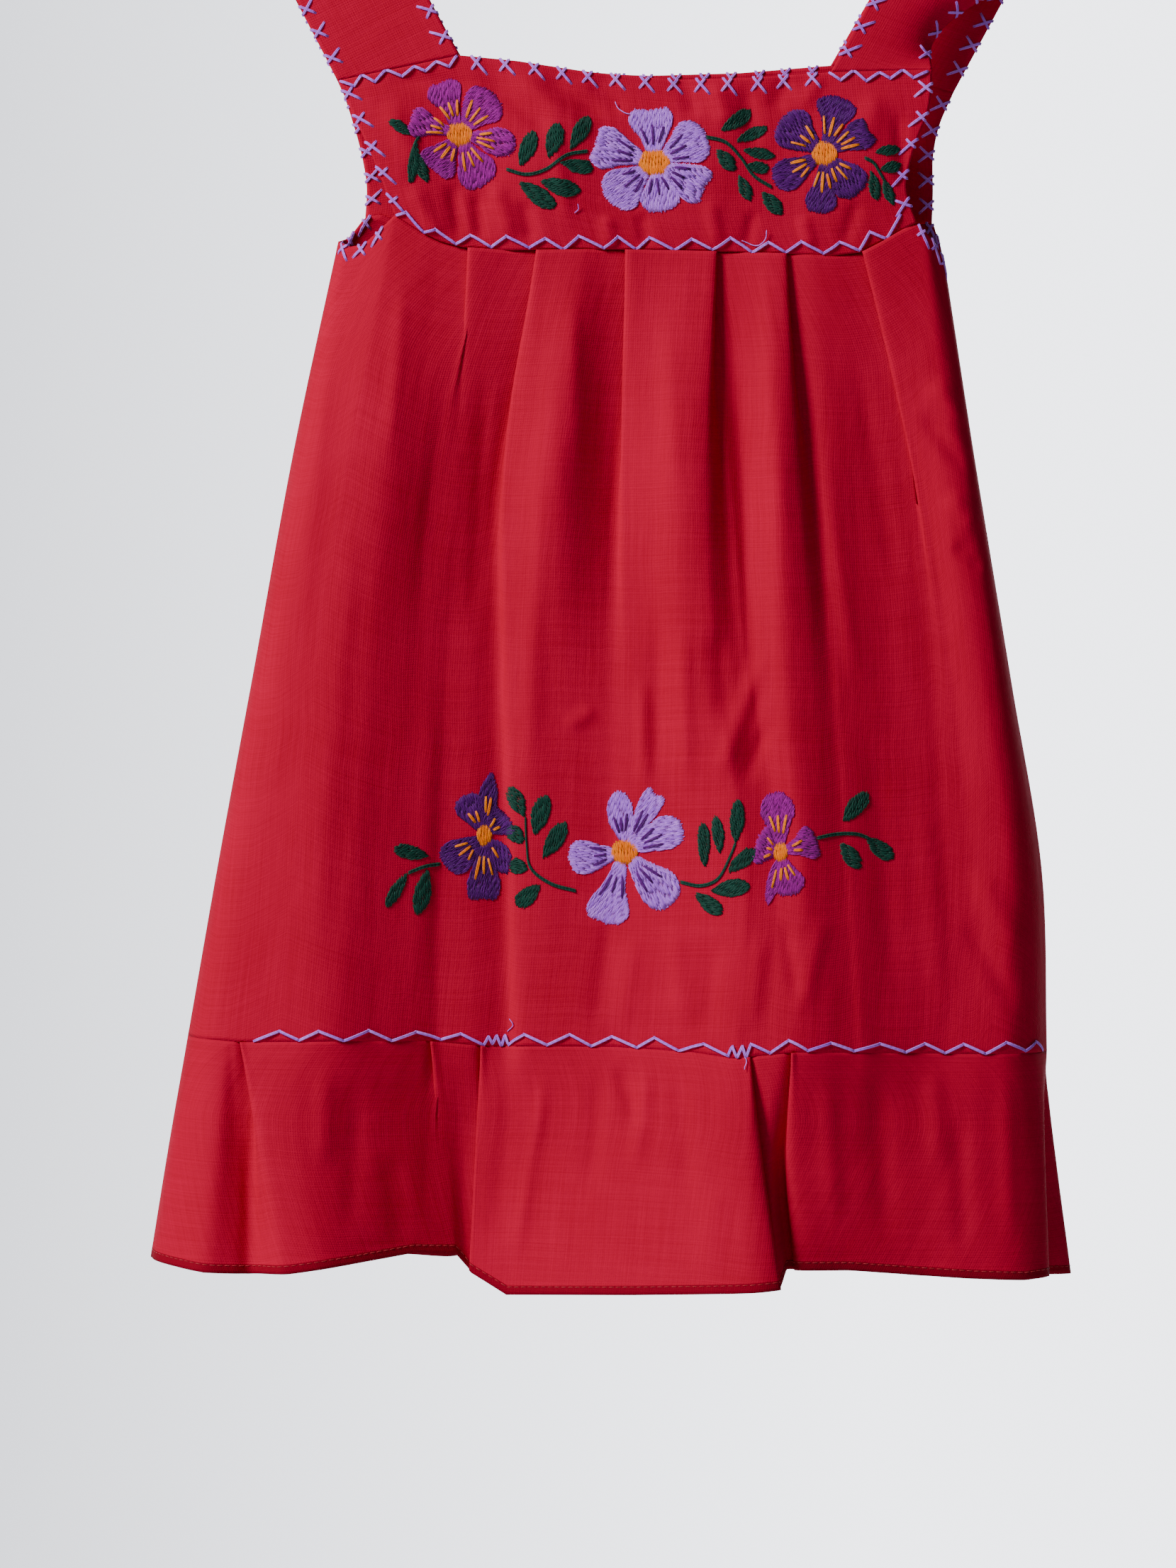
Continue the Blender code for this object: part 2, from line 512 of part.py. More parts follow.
def build_ruffles(front_hem, back_hem, cloth):
    shares = (0.0, 0.12, 0.3, 0.5, 0.75, 1.0)
    front_rows = ruffle_lines(FRONT_RUFFLE, RUFFLE_SIDE_RIGHT, front_hem)
    back_rows = ruffle_lines(BACK_RUFFLE, RUFFLE_SIDE_RIGHT, back_hem)
    front = hung_surface(front_rows, RUFFLE_STATIONS, RUFFLE_SEAM, FRONT_HEM, shares, 2)
    back = hung_surface(back_rows, RUFFLE_STATIONS, RUFFLE_SEAM, BACK_HEM, shares, 2)
    wall_object("ruffle_front", front, cloth)
    wall_object("ruffle_back", back * TO_BACK, cloth)


def build_yokes(cloth):
    front = yoke_surface(
        FRONT_YOKE_LEFT, FRONT_YOKE_RIGHT, FRONT_YOKE_TOP, SKIRT_TOP, 8, 30, front_yoke_waves
    )
    back = yoke_surface(
        BACK_YOKE_LEFT, BACK_YOKE_RIGHT, BACK_YOKE_TOP, BACK_SKIRT_TOP, 7, 24, back_yoke_waves
    )
    wall_object("yoke_front", front, cloth)
    wall_object("yoke_back", back * TO_BACK, cloth)
    return front[0], back[0] * TO_BACK


def strap_seam(top_row, share_from, share_to):
    """The two ends of a strap's seam on a yoke's top row, just above the yoke."""
    lift = np.array([0.0, 0.0, -SEAM_GAP])
    shares = np.linspace(0, 1, len(top_row))
    ends = []
    for share in (share_from, share_to):
        ends.append(top_row[np.argmin(abs(shares - share))] + lift)
    return ends


def build_straps(front_top, back_top, cloth):
    inner_front, inner_back = STRAP_SHARE["front"], STRAP_SHARE["back"]
    for number, (side, outer) in enumerate((("left", 0.0), ("right", 1.0))):
        front_seam = strap_seam(front_top, outer, inner_front[number])
        back_seam = strap_seam(back_top, outer, inner_back[number])
        wall_object(f"strap_{side}", strap_surface(side, front_seam, back_seam, 7, 7), cloth)


def build_hanger(wood, steel):
    half = np.concatenate([[0.0, 5.0, 10.0, 18.0], np.linspace(30.0, HANGER_HALF_WIDTH, 4)])
    line = [(x, 0.0, bar_drop(x)) for x in np.concatenate([-half[:0:-1], half])]
    radii = [BAR_RADIUS] * len(line)
    left_end, right_end = np.array(line[0]), np.array(line[-1])
    outward = np.array([math.cos(ARM_SLOPE), 0.0, math.sin(ARM_SLOPE)])
    for reach, radius in BAR_END:
        line.insert(0, tuple(left_end + reach * outward * np.array([-1, 1, 1])))
        line.append(tuple(right_end + reach * outward))
        radii.insert(0, radius)
        radii.append(radius)
    rod_object("hanger_bar", line, radii, 10, wood)

    bar_top = bar_drop(0.0) - BAR_RADIUS
    ring = HOOK_INNER_RADIUS + WIRE_RADIUS
    route = [(0.0, 0.0, bar_top - SEAM_GAP), (0.0, 0.0, bar_top - 14.0), (1.0, 0.0, bar_top - 24.0)]
    for angle in np.linspace(math.radians(-50), HOOK_END_ANGLE, 14):
        route.append((ring * math.cos(angle), 0.0, HOOK_INNER_RADIUS - ring * math.sin(angle)))
    rod_object("hanger_hook", route, [WIRE_RADIUS] * len(route), 8, steel)


def main():
    clear_scene()
    cloth = material("red_cloth", CLOTH_COLOUR, 0.7)
    wood = material("hanger_wood", WOOD_COLOUR, 0.5)
    steel = material("hook_steel", STEEL_COLOUR, 0.3, 1.0)
    front_hem, back_hem = build_skirts(cloth)
    build_ruffles(front_hem, back_hem, cloth)
    front_top, back_top = build_yokes(cloth)
    build_straps(front_top, back_top, cloth)
    build_hanger(wood, steel)


main()
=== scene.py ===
"""The looks of a toddler's embroidered sun dress, hung on a plain child's hanger.

Each cloth panel is a thin shell on the form of its solid, with finer folds, and the sewing is real
thread laid on those shells: satin-stitched flowers and leaves, X stitches over the edges, zigzag
stitches along the seams and a running stitch round the turned hem. Tables and form functions work
in millimetres, as (x, depth, drop): depth is a Y value and drop is the distance below the hook.
"""

import math
import random
from collections import namedtuple

import bpy
import numpy as np
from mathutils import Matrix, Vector
from mathutils.bvhtree import BVHTree


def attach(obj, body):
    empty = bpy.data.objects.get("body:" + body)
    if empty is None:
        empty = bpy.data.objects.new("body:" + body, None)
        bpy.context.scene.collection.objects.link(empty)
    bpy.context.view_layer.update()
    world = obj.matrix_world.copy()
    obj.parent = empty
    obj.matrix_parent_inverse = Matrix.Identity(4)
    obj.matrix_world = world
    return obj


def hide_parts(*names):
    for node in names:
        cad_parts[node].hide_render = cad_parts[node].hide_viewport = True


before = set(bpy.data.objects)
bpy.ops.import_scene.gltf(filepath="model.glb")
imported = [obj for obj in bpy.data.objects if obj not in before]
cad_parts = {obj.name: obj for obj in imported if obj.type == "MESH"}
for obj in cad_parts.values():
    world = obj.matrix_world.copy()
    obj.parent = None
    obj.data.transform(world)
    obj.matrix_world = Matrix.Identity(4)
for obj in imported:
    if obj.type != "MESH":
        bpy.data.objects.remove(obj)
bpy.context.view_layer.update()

MM = 0.001
TO_METRES = np.array([MM, MM, -MM])
TO_BACK = np.array([1.0, -1.0, 1.0])
SHELL = 0.5
SEAM_GAP = 0.02
SIDE_SEAM_DEPTH = -0.02

# The camera stands before the plane of the front yoke, on which the photograph shows these limits
YOKE_DEPTH = -9.0
CAMERA_DISTANCE = 1800.0
PHOTO_LEFT, PHOTO_RIGHT = -248.9, 207.4
PHOTO_TOP, PHOTO_BOTTOM = 145.35, 753.65

# A panel is a set of lines that run down the cloth, listed from left to right. A station is a
# share of the way down from the panel's top seam. At that seam the cloth lies in up to three
# layers, each LAYER_STEP from the next, and a line's layer counts out from the middle one.
SKIRT_STATIONS = (0.0, 0.267, 0.535, 0.77, 1.0)
RUFFLE_STATIONS = (0.0, 0.5, 1.0)
SKIRT_SEAM_DEPTH = -9.1
LAYER_STEP = 1.0
FRONT_LAYER, MIDDLE_LAYER, REAR_LAYER = -1.0, 0.0, 1.0
SKIRT_UNDERLAY = 7.0
RUFFLE_UNDERLAY = 6.0
TURN = 1.2
LEFT, RIGHT = -1, 1

Soft = namedtuple("Soft", "x layer depth")
Pleat = namedtuple("Pleat", "faces fold depth hollow hollow_depth")
Flank = namedtuple("Flank", "inset depth")

SIDE_LEFT = (-117.9, -135.5, -150.6, -164.0, -176.5)
SIDE_RIGHT = (118.5, 131.0, 144.5, 156.0, 158.0)
LEFT_FLANK = (
    Flank((2.5, 3.0, 3.0, 3.0, 3.5), (-5.0, -9.5, -10.0, -10.0, -10.5)),
    Flank((7.0, 7.5, 8.0, 8.5, 10.0), (-6.5, -14.0, -15.0, -15.5, -17.0)),
    Flank((18.5, 20.0, 22.0, 25.0, 30.0), (-8.5, -17.0, -19.0, -20.5, -22.0)),
)
RIGHT_FLANK = (
    Flank((12.0, 16.0, 17.0, 19.0, 24.0), (-8.5, -11.5, -15.5, -19.0, -22.0)),
    Flank((8.0, 10.0, 12.0, 13.0, 17.0), (-8.0, -11.5, -15.5, -18.5, -21.0)),
    Flank((5.0, 5.5, 6.5, 8.0, 10.5), (-6.0, -10.0, -13.5, -15.5, -17.5)),
    Flank((2.0, 2.0, 3.0, 4.0, 5.0), (-4.0, -6.5, -9.0, -10.0, -11.0)),
)
FRONT_SKIRT = (
    Soft((-86.0, -99.0, -112.0, -120.0, -120.0), 0.5, (-18.5, -20.5, -23.0, -24.5)),
    Soft((-76.0, -86.0, -96.0, -101.0, -101.0), 0.9, (-15.0, -16.5, -18.0, -19.0)),
    Pleat(LEFT, (-67.0, -71.0, -77.0, -80.0, -81.0), (-10.5, -11.0, -11.5, -12.5),
          (-79.0, -86.0, -89.0, -90.0), (-12.3, -13.5, -14.5, -15.5)),
    Soft((-47.0, -61.0, -66.0, -65.0, -65.0), 0.9, (-8.0, -9.3, -9.8, -11.5)),
    Pleat(LEFT, (-40.5, -52.0, -51.0, -48.5, -47.0), (-10.0, -11.0, -11.5, -13.5),
          (-54.0, -56.0, -53.5, -52.5), (-6.0, -7.2, -7.8, -9.5)),
    Soft((-35.0, -43.5, -43.0, -40.0, -38.0), -1.0, (-12.8, -12.3, -12.5, -14.5)),
    Soft((-24.0, -32.0, -32.0, -28.0, -26.0), -0.6, (-16.5, -12.4, -12.3, -15.5)),
    Soft((-12.0, -15.0, -17.0, -19.0, -20.0), 0.9, (-9.0, -11.0, -12.0, -16.0)),
    Pleat(LEFT, (-6.0, -6.5, -5.0, -4.0, -3.0), (-11.0, -13.0, -15.0, -19.5),
          (-8.5, -12.0, -13.0, -14.0), (-7.2, -10.8, -12.0, -16.5)),
    Soft((4.0, 3.0, 5.0, 8.0, 10.0), -0.8, (-14.5, -15.0, -18.5, -23.5)),
    Soft((19.0, 15.0, 16.0, 24.0, 26.0), -1.0, (-20.0, -20.0, -24.5, -30.0)),
    Pleat(RIGHT, (29.0, 26.0, 30.0, 41.0, 37.0), (-19.5, -22.0, -29.5, -34.0),
          (32.0, 39.0, 50.0, 46.0), (-14.0, -19.5, -29.0, -35.0)),
    Soft((34.0, 39.0, 43.0, 54.0, 52.0), 0.8, (-12.5, -19.5, -29.5, -36.0)),
    Soft((43.0, 45.5, 49.0, 58.0, 58.0), -0.2, (-16.0, -22.5, -30.5, -36.5)),
    Soft((49.0, 52.0, 55.0, 62.0, 64.0), -0.9, (-20.0, -25.0, -31.0, -36.0)),
    Pleat(RIGHT, (56.0, 60.0, 66.0, 70.0, 73.0), (-18.5, -23.5, -29.5, -34.5),
          (66.0, 74.0, 79.0, 83.0), (-12.0, -20.0, -26.5, -31.5)),
    Soft((65.0, 74.0, 85.0, 90.0, 93.0), 0.0, (-12.5, -18.0, -24.0, -28.5)),
    Soft((73.0, 84.0, 96.0, 101.0, 104.0), 0.2, (-10.5, -15.5, -21.5, -25.5)),
    Soft((81.5, 99.0, 108.0, 112.0, 114.0), 0.9, (-8.5, -14.0, -19.5, -23.5)),
    Pleat(LEFT, (86.0, 106.0, 119.0, 125.0, 127.0), (-9.5, -14.0, -18.5, -22.5),
          (104.0, 113.0, 118.0, 120.0), (-8.3, -13.3, -18.7, -22.8)),
)
BACK_PLEATS_AT = (-70.0, -42.0, -14.0, 18.0, 46.0, 74.0)
BACK_SPREAD = (1.0, 1.08, 1.17, 1.25, 1.3)
BACK_FOLD_DEPTH = (-14.0, -17.0, -19.5, -21.0)
BACK_HOLLOW_DEPTH = (-9.0, -11.0, -13.0, -15.0)
BACK_HOLLOW_REACH = (9.0, 11.0, 12.0, 13.0)
BACK_FLATTER = 0.75

SKIRT_TOP = (
    (-117.9, 238.0), (-113.4, 240.8), (-107.8, 240.0), (-101.0, 234.0), (-95.7, 228.7),
    (-86.0, 235.0), (-78.0, 239.0), (-69.0, 241.3), (-50.0, 242.5), (-21.0, 242.0),
    (13.0, 242.5), (49.0, 243.5), (75.0, 244.5), (85.0, 243.3), (92.5, 239.5),
    (100.0, 235.0), (106.7, 231.7), (112.8, 237.8), (116.6, 243.5), (118.5, 249.0),
)
BACK_SKIRT_TOP = (
    (-117.9, 238.0), (-114.0, 236.0), (-108.0, 228.0), (-102.0, 226.5), (-80.0, 236.0),
    (-60.0, 240.0), (0.0, 242.0), (60.0, 240.0), (80.0, 237.0), (104.0, 231.0),
    (114.0, 230.0), (116.6, 240.0), (118.5, 249.0),
)
RUFFLE_SEAM = (
    (-176.5, 547.5), (-154.0, 549.0), (-117.0, 548.5), (-82.0, 549.0), (-61.0, 551.0),
    (-38.0, 551.0), (-10.0, 551.0), (20.0, 552.5), (35.0, 554.5), (59.0, 552.0),
    (125.0, 553.5), (158.0, 553.5),
)
FRONT_HEM = (
    (-191.0, 633.5), (-168.0, 636.5), (-151.0, 637.5), (-135.0, 636.5), (-104.0, 632.5),
    (-88.0, 630.5), (-72.0, 631.5), (-66.0, 639.0), (-52.3, 647.0), (-3.0, 644.7),
    (41.0, 642.1), (52.5, 641.2), (55.0, 635.0), (79.0, 635.6), (105.0, 638.0),
    (126.0, 639.5), (147.0, 640.5), (157.0, 640.0),
)
BACK_HEM = ((-191.0, 634.0), (-141.0, 634.5), (-12.0, 635.5), (100.0, 638.0), (170.0, 641.5))
RUFFLE_SIDE_LEFT = (-176.5, -184.0, -191.0)
RUFFLE_SIDE_RIGHT = (158.0, 155.5, 156.0)
FRONT_RUFFLE = (
    Soft((-173.5, -181.0, -187.5), 0.0, (-12.0, -14.0)),
    Soft((-167.0, -173.0, -178.0), 0.0, (-21.0, -26.0)),
    Soft((-161.0, -164.0, -168.0), 0.2, (-25.0, -33.0)),
    Soft((-157.5, -156.0, -157.0), 0.8, (-22.0, -31.0)),
    Pleat(LEFT, (-154.6, -145.5, -138.0), (-29.0, -39.0), (-150.2, -150.0), (-20.0, -28.0)),
    Soft((-136.0, -131.0, -123.0), -0.6, (-29.0, -38.0)),
    Soft((-108.0, -106.0, -104.0), 0.2, (-20.5, -28.0)),
    Soft((-86.0, -88.0, -88.0), 0.8, (-13.5, -18.0)),
    Pleat(LEFT, (-81.5, -77.3, -74.0), (-9.5, -11.0), (-82.0, -80.0), (-11.0, -14.0)),
    Soft((-70.0, -69.5, -68.0), 0.4, (-6.8, -7.5)),
    Pleat(LEFT, (-62.0, -63.3, -65.5), (-9.0, -10.5), (-58.3, -57.0), (-7.5, -8.0)),
    Soft((-39.0, -45.0, -52.3), -1.0, (-12.5, -15.0)),
    Soft((-3.0, -3.0, -3.0), -0.8, (-27.0, -37.0)),
    Soft((34.5, 37.0, 42.0), -1.0, (-41.5, -54.5)),
    Pleat(RIGHT, (41.0, 45.0, 51.0), (-41.5, -53.0), (42.5, 47.5), (-33.0, -38.0)),
    Soft((50.0, 48.5, 52.0), 0.4, (-34.5, -42.0)),
    Pleat(LEFT, (57.2, 56.5, 59.5), (-34.0, -39.0), (54.0, 57.0), (-30.0, -34.5)),
    Soft((79.0, 79.0, 79.0), -0.4, (-30.5, -34.0)),
    Soft((107.0, 107.0, 105.0), 0.0, (-25.5, -28.5)),
    Soft((131.0, 129.0, 126.0), 0.0, (-23.5, -27.0)),
    Soft((147.0, 148.0, 147.0), 0.0, (-18.5, -23.0)),
    Soft((155.0, 156.0, 157.4), 0.0, (-11.0, -13.0)),
)
BACK_RUFFLE = (
    Soft((-173.0, -180.0, -187.0), 0.0, (-9.0, -11.0)),
    Soft((-160.0, -167.0, -172.0), 0.0, (-18.0, -25.0)),
    Soft((-136.0, -147.0, -150.0), 0.8, (-14.0, -20.0)),
    Pleat(LEFT, (-128.0, -129.0, -128.0), (-22.0, -30.0), (-137.0, -140.0), (-11.0, -13.0)),
    Soft((-86.0, -94.0, -94.0), 0.4, (-17.0, -22.0)),
    Pleat(LEFT, (-65.0, -65.0, -65.0), (-23.0, -31.0), (-73.0, -76.0), (-11.0, -13.0)),
    Soft((-12.0, -12.0, -12.0), -0.6, (-24.0, -33.0)),
    Pleat(RIGHT, (40.0, 41.0, 41.0), (-23.0, -31.0), (49.0, 52.0), (-11.0, -13.0)),
    Soft((62.0, 72.0, 74.0), 0.4, (-17.0, -22.0)),
    Pleat(RIGHT, (102.0, 102.0, 102.0), (-22.0, -30.0), (110.0, 113.0), (-11.0, -13.0)),
    Soft((124.0, 132.0, 136.0), 0.4, (-17.0, -23.0)),
    Soft((150.0, 155.0, 160.0), 0.0, (-16.0, -22.0)),
    Soft((156.5, 162.5, 168.5), 0.0, (-8.0, -11.0)),
)

# Yokes. Edges as (x, drop) down each armhole, and the top line as (share across, drop).
FRONT_YOKE_LEFT = ((-118.0, 176.7), (-112.0, 188.0), (-106.0, 200.5), (-100.5, 214.5), (-95.7, 228.7))
FRONT_YOKE_RIGHT = ((112.8, 172.3), (111.5, 186.0), (106.0, 200.0), (102.6, 213.0), (106.7, 231.7))
FRONT_YOKE_TOP = (
    (0.0, 176.7), (0.205, 166.8), (0.3, 169.0), (0.42, 173.2), (0.56, 176.2),
    (0.68, 175.8), (0.828, 173.4), (1.0, 172.3),
)
BACK_YOKE_LEFT = ((-117.0, 177.5), (-113.0, 188.0), (-109.5, 203.0), (-107.5, 215.0), (-108.0, 228.0))
BACK_YOKE_RIGHT = ((122.5, 178.5), (117.0, 191.0), (114.5, 204.0), (114.5, 214.0), (114.0, 230.0))
BACK_YOKE_TOP = (
    (0.0, 177.5), (0.2, 167.5), (0.35, 170.5), (0.5, 172.0), (0.65, 171.0), (0.8, 168.0), (1.0, 178.5),
)
STRAP_SHARE = {"front": (0.205, 0.828), "back": (0.2, 0.8)}

# Straps and hanger
STRAP_WIDTH = 45.5
ARM_SLOPE = math.radians(25.0)
BAR_RADIUS = 6.0
FOLD_RADIUS = BAR_RADIUS + 0.9
HANGER_DROP = 70.0
HANGER_HALF_WIDTH = 142.0
STRAP_AT_BAR = {"left": -118.5, "right": 124.0}
BAR_BEND = 12.0
STRAP_CURL = {"left": 0.0, "right": 12.0}
WIRE_RADIUS = 1.6
HOOK_INNER_RADIUS = 17.0
HOOK_END_ANGLE = math.radians(205.0)

# A crease is a soft ridge (height over 0) or trough (under 0) between two points on the front
Crease = namedtuple("Crease", "x1 drop1 x2 drop2 half_width height")


def creases(*rows):
    return [Crease(*row) for row in rows]


YOKE_CREASES = creases(
    (-74.0, 215.0, -70.0, 240.0, 3.0, -1.2), (-64.0, 218.0, -62.0, 241.0, 3.0, -1.2),
    (-58.0, 214.0, -50.0, 240.0, 3.5, 1.2), (-46.0, 222.0, -42.0, 241.0, 3.0, -1.0),
    (-66.0, 170.0, -30.0, 202.0, 4.0, -1.3), (-52.0, 172.0, -18.0, 200.0, 4.0, 1.3),
    (-40.0, 173.0, -12.0, 192.0, 3.5, -1.2), (-20.0, 175.0, -6.0, 190.0, 4.0, -0.9),
    (0.0, 227.0, 2.0, 242.0, 3.0, -0.9), (-14.0, 228.0, -12.0, 242.0, 3.0, 0.9),
    (28.0, 176.0, 34.0, 196.0, 4.0, 1.2), (40.0, 176.0, 44.0, 206.0, 4.0, -1.2),
    (58.0, 174.0, 50.0, 190.0, 4.0, -1.1), (92.0, 180.0, 84.0, 205.0, 5.0, 1.1),
    (-100.0, 184.0, -84.0, 214.0, 5.0, 1.2), (-90.0, 216.0, -78.0, 240.0, 3.5, 1.1),
    (-100.0, 176.0, -62.0, 178.0, 3.0, -0.8), (-36.0, 180.0, -28.0, 240.0, 3.0, 0.7),
    (14.0, 172.0, 22.0, 192.0, 3.5, -1.0), (26.0, 222.0, 30.0, 243.0, 3.0, 0.9),
    (44.0, 226.0, 40.0, 243.0, 2.5, -0.8), (70.0, 174.0, 62.0, 188.0, 3.0, 0.8),
    (62.0, 228.0, 66.0, 243.0, 3.0, 0.9), (84.0, 222.0, 78.0, 242.0, 3.0, -0.9),
    (99.0, 186.0, 102.0, 222.0, 3.0, -1.0),
)
SKIRT_CREASES = creases(
    (-138.0, 300.0, -150.0, 470.0, 5.0, -0.8), (-120.0, 268.0, -133.0, 400.0, 4.0, 0.6),
    (-104.0, 330.0, -122.0, 540.0, 5.0, -0.7), (-92.0, 250.0, -98.0, 330.0, 3.0, 0.6),
    (-80.0, 400.0, -88.0, 545.0, 5.0, 0.7), (-60.0, 280.0, -66.0, 400.0, 3.5, -0.7),
    (-38.0, 300.0, -45.0, 470.0, 4.0, 0.9), (-27.0, 256.0, -25.0, 330.0, 3.0, 0.6),
    (-30.0, 428.0, -17.0, 420.0, 3.0, 0.9), (-12.0, 500.0, -18.0, 547.0, 4.0, -0.8),
    (-2.0, 505.0, -8.0, 547.0, 3.5, 0.8), (0.0, 405.0, 1.0, 458.0, 3.0, 1.2),
    (7.0, 380.0, 6.0, 452.0, 3.5, -1.0), (10.0, 262.0, 12.0, 345.0, 4.0, 0.7),
    (16.0, 385.0, 17.0, 455.0, 3.0, 1.1), (28.0, 388.0, 32.0, 430.0, 4.0, -1.3),
    (47.0, 398.0, 29.0, 450.0, 3.5, 1.5), (50.0, 424.0, 38.0, 452.0, 3.0, -1.0),
    (12.0, 500.0, 16.0, 548.0, 4.0, 0.9), (27.0, 506.0, 25.0, 549.0, 4.0, -0.9),
    (46.0, 504.0, 41.0, 545.0, 3.0, 0.8), (54.0, 500.0, 60.0, 535.0, 3.0, -0.9),
    (70.0, 498.0, 60.0, 540.0, 3.5, 0.8), (66.0, 300.0, 84.0, 420.0, 4.0, 0.9),
    (82.0, 275.0, 100.0, 380.0, 4.0, -0.7), (88.0, 420.0, 98.0, 540.0, 5.0, -0.7),
    (108.0, 450.0, 116.0, 545.0, 5.0, 0.7), (112.0, 292.0, 127.0, 312.0, 4.0, 1.3),
    (108.0, 304.0, 127.0, 330.0, 3.5, -1.3), (118.0, 336.0, 131.0, 352.0, 4.0, 1.2),
    (120.0, 356.0, 134.0, 366.0, 3.5, -1.2), (127.0, 480.0, 148.0, 520.0, 5.0, 1.1),
    (124.0, 500.0, 146.0, 540.0, 4.0, -1.0),
)
RUFFLE_CREASES = creases(
    (-178.0, 570.0, -184.0, 628.0, 3.0, 0.8), (-122.0, 556.0, -122.0, 600.0, 4.0, 0.9),
    (-98.0, 590.0, -92.0, 632.0, 5.0, -1.0), (-110.0, 560.0, -112.0, 628.0, 4.0, -0.7),
    (-49.0, 555.0, -58.0, 636.0, 4.0, -0.8), (-36.0, 556.0, -50.0, 640.0, 3.0, 1.0),
    (-16.0, 555.0, -20.0, 610.0, 4.0, -0.9), (-9.0, 556.0, -1.0, 584.0, 3.5, -1.3),
    (3.0, 556.0, -3.0, 600.0, 3.0, 0.9), (14.0, 556.0, 18.0, 612.0, 4.0, -0.9),
    (28.0, 600.0, 24.0, 640.0, 5.0, 0.8), (70.0, 556.0, 74.0, 624.0, 4.0, 0.9),
    (90.0, 556.0, 94.0, 630.0, 5.0, -1.0), (112.0, 556.0, 114.0, 600.0, 4.0, 0.8),
    (122.0, 570.0, 124.0, 636.0, 4.0, -0.9), (140.0, 558.0, 142.0, 630.0, 3.5, 0.8),
)
HEM_FOLD = 3.4
HEM_RIDGE = 0.22
HEM_STEP = 0.8
HEM_SPAN = 40.0
SEAM_REACH = 30.0
CREASE_ENDS = 3.3


def through(nodes, counts):
    """Points on centripetal Catmull-Rom curves. nodes is (rows, lines, values), one curve a row,
    and counts is the number of steps in each span between two lines."""
    padded = np.concatenate(
        [2 * nodes[:, :1] - nodes[:, 1:2], nodes, 2 * nodes[:, -1:] - nodes[:, -2:-1]], axis=1
    )
    points = []
    for k, count in enumerate(counts):
        p0, p1, p2, p3 = (padded[:, k + i] for i in range(4))
        steps = [np.sqrt(np.maximum(np.linalg.norm(b - a, axis=1), 1e-6))[:, None]
                 for a, b in ((p0, p1), (p1, p2), (p2, p3))]
        t1 = steps[0]
        t2 = t1 + steps[1]
        t3 = t2 + steps[2]
        for share in np.arange(count) / count:
            t = t1 + (t2 - t1) * share
            a = p0 + (p1 - p0) * t / t1
            b = p1 + (p2 - p1) * (t - t1) / (t2 - t1)
            c = p2 + (p3 - p2) * (t - t2) / (t3 - t2)
            d = a + (b - a) * t / t2
            e = b + (c - b) * (t - t1) / (t3 - t1)
            points.append(d + (e - d) * (t - t1) / (t2 - t1))
    points.append(nodes[:, -1])
    return np.stack(points, axis=1)


def curve(nodes, per_span):
    """One smooth curve through the nodes."""
    nodes = np.asarray(nodes, float)
    return through(nodes[None], [per_span] * (len(nodes) - 1))[0]


def between_stations(share, stations, values):
    """The values at the stations, carried smoothly down the cloth to the given share."""
    k = max(min(np.searchsorted(stations, share, side="right") - 1, len(stations) - 2), 0)
    span = stations[k + 1] - stations[k]
    t = (share - stations[k]) / span

    def slope(i):
        before, after = max(i - 1, 0), min(i + 1, len(stations) - 1)
        return (values[after] - values[before]) / (stations[after] - stations[before])

    return (
        (2 * t**3 - 3 * t**2 + 1) * values[k]
        + (t**3 - 2 * t**2 + t) * slope(k) * span
        + (3 * t**2 - 2 * t**3) * values[k + 1]
        + (t**3 - t**2) * slope(k + 1) * span
    )


def soft_line(row, level):
    """One line down the cloth, as (x, depth) at each station."""
    seam = (row.x[0], level(row.x[0]) + row.layer * LAYER_STEP)
    return [seam, *zip(row.x[1:], row.depth)]


def pleat_lines(row, level, underlay):
    """The four lines of one pleat, left to right along the cloth, as (x, depth) at each station."""
    edge = row.fold[0]
    under = edge - row.faces * underlay
    rear = [(under, level(under) + REAR_LAYER * LAYER_STEP)]
    middle = [(under, level(under) + MIDDLE_LAYER * LAYER_STEP)]
    behind_edge = [(edge, level(edge) + MIDDLE_LAYER * LAYER_STEP)]
    at_edge = [(edge, level(edge) + FRONT_LAYER * LAYER_STEP)]
    for x, depth, low_x, low_depth in zip(row.fold[1:], row.depth, row.hollow, row.hollow_depth):
        proud = low_depth - depth
        lip = min(max(0.25 * proud, 0.0), 1.5)
        lean = row.faces * TURN * min(proud, 0.0) / (low_x - x)
        rear.append((low_x + row.faces * TURN, low_depth + lean))
        middle.append((low_x - row.faces * TURN, low_depth - lip / 3 - lean))
        behind_edge.append((x + row.faces * TURN, depth + lip + lean))
        at_edge.append((x - row.faces * TURN, depth - lean))
    lines = [rear, middle, behind_edge, at_edge]
    return lines if row.faces == LEFT else lines[::-1]


def panel_lines(rows, level, underlay):
    lines = []
    for row in rows:
        if isinstance(row, Pleat):
            lines.extend(pleat_lines(row, level, underlay))
        else:
            lines.append(soft_line(row, level))
    return lines


def side_line(side):
    return [(x, SIDE_SEAM_DEPTH) for x in side]


def flank_lines(side, rows, inward, flatter):
    return [
        [(x + inward * inset, depth * flatter) for x, inset, depth in zip(side, row.inset, row.depth)]
        for row in rows
    ]


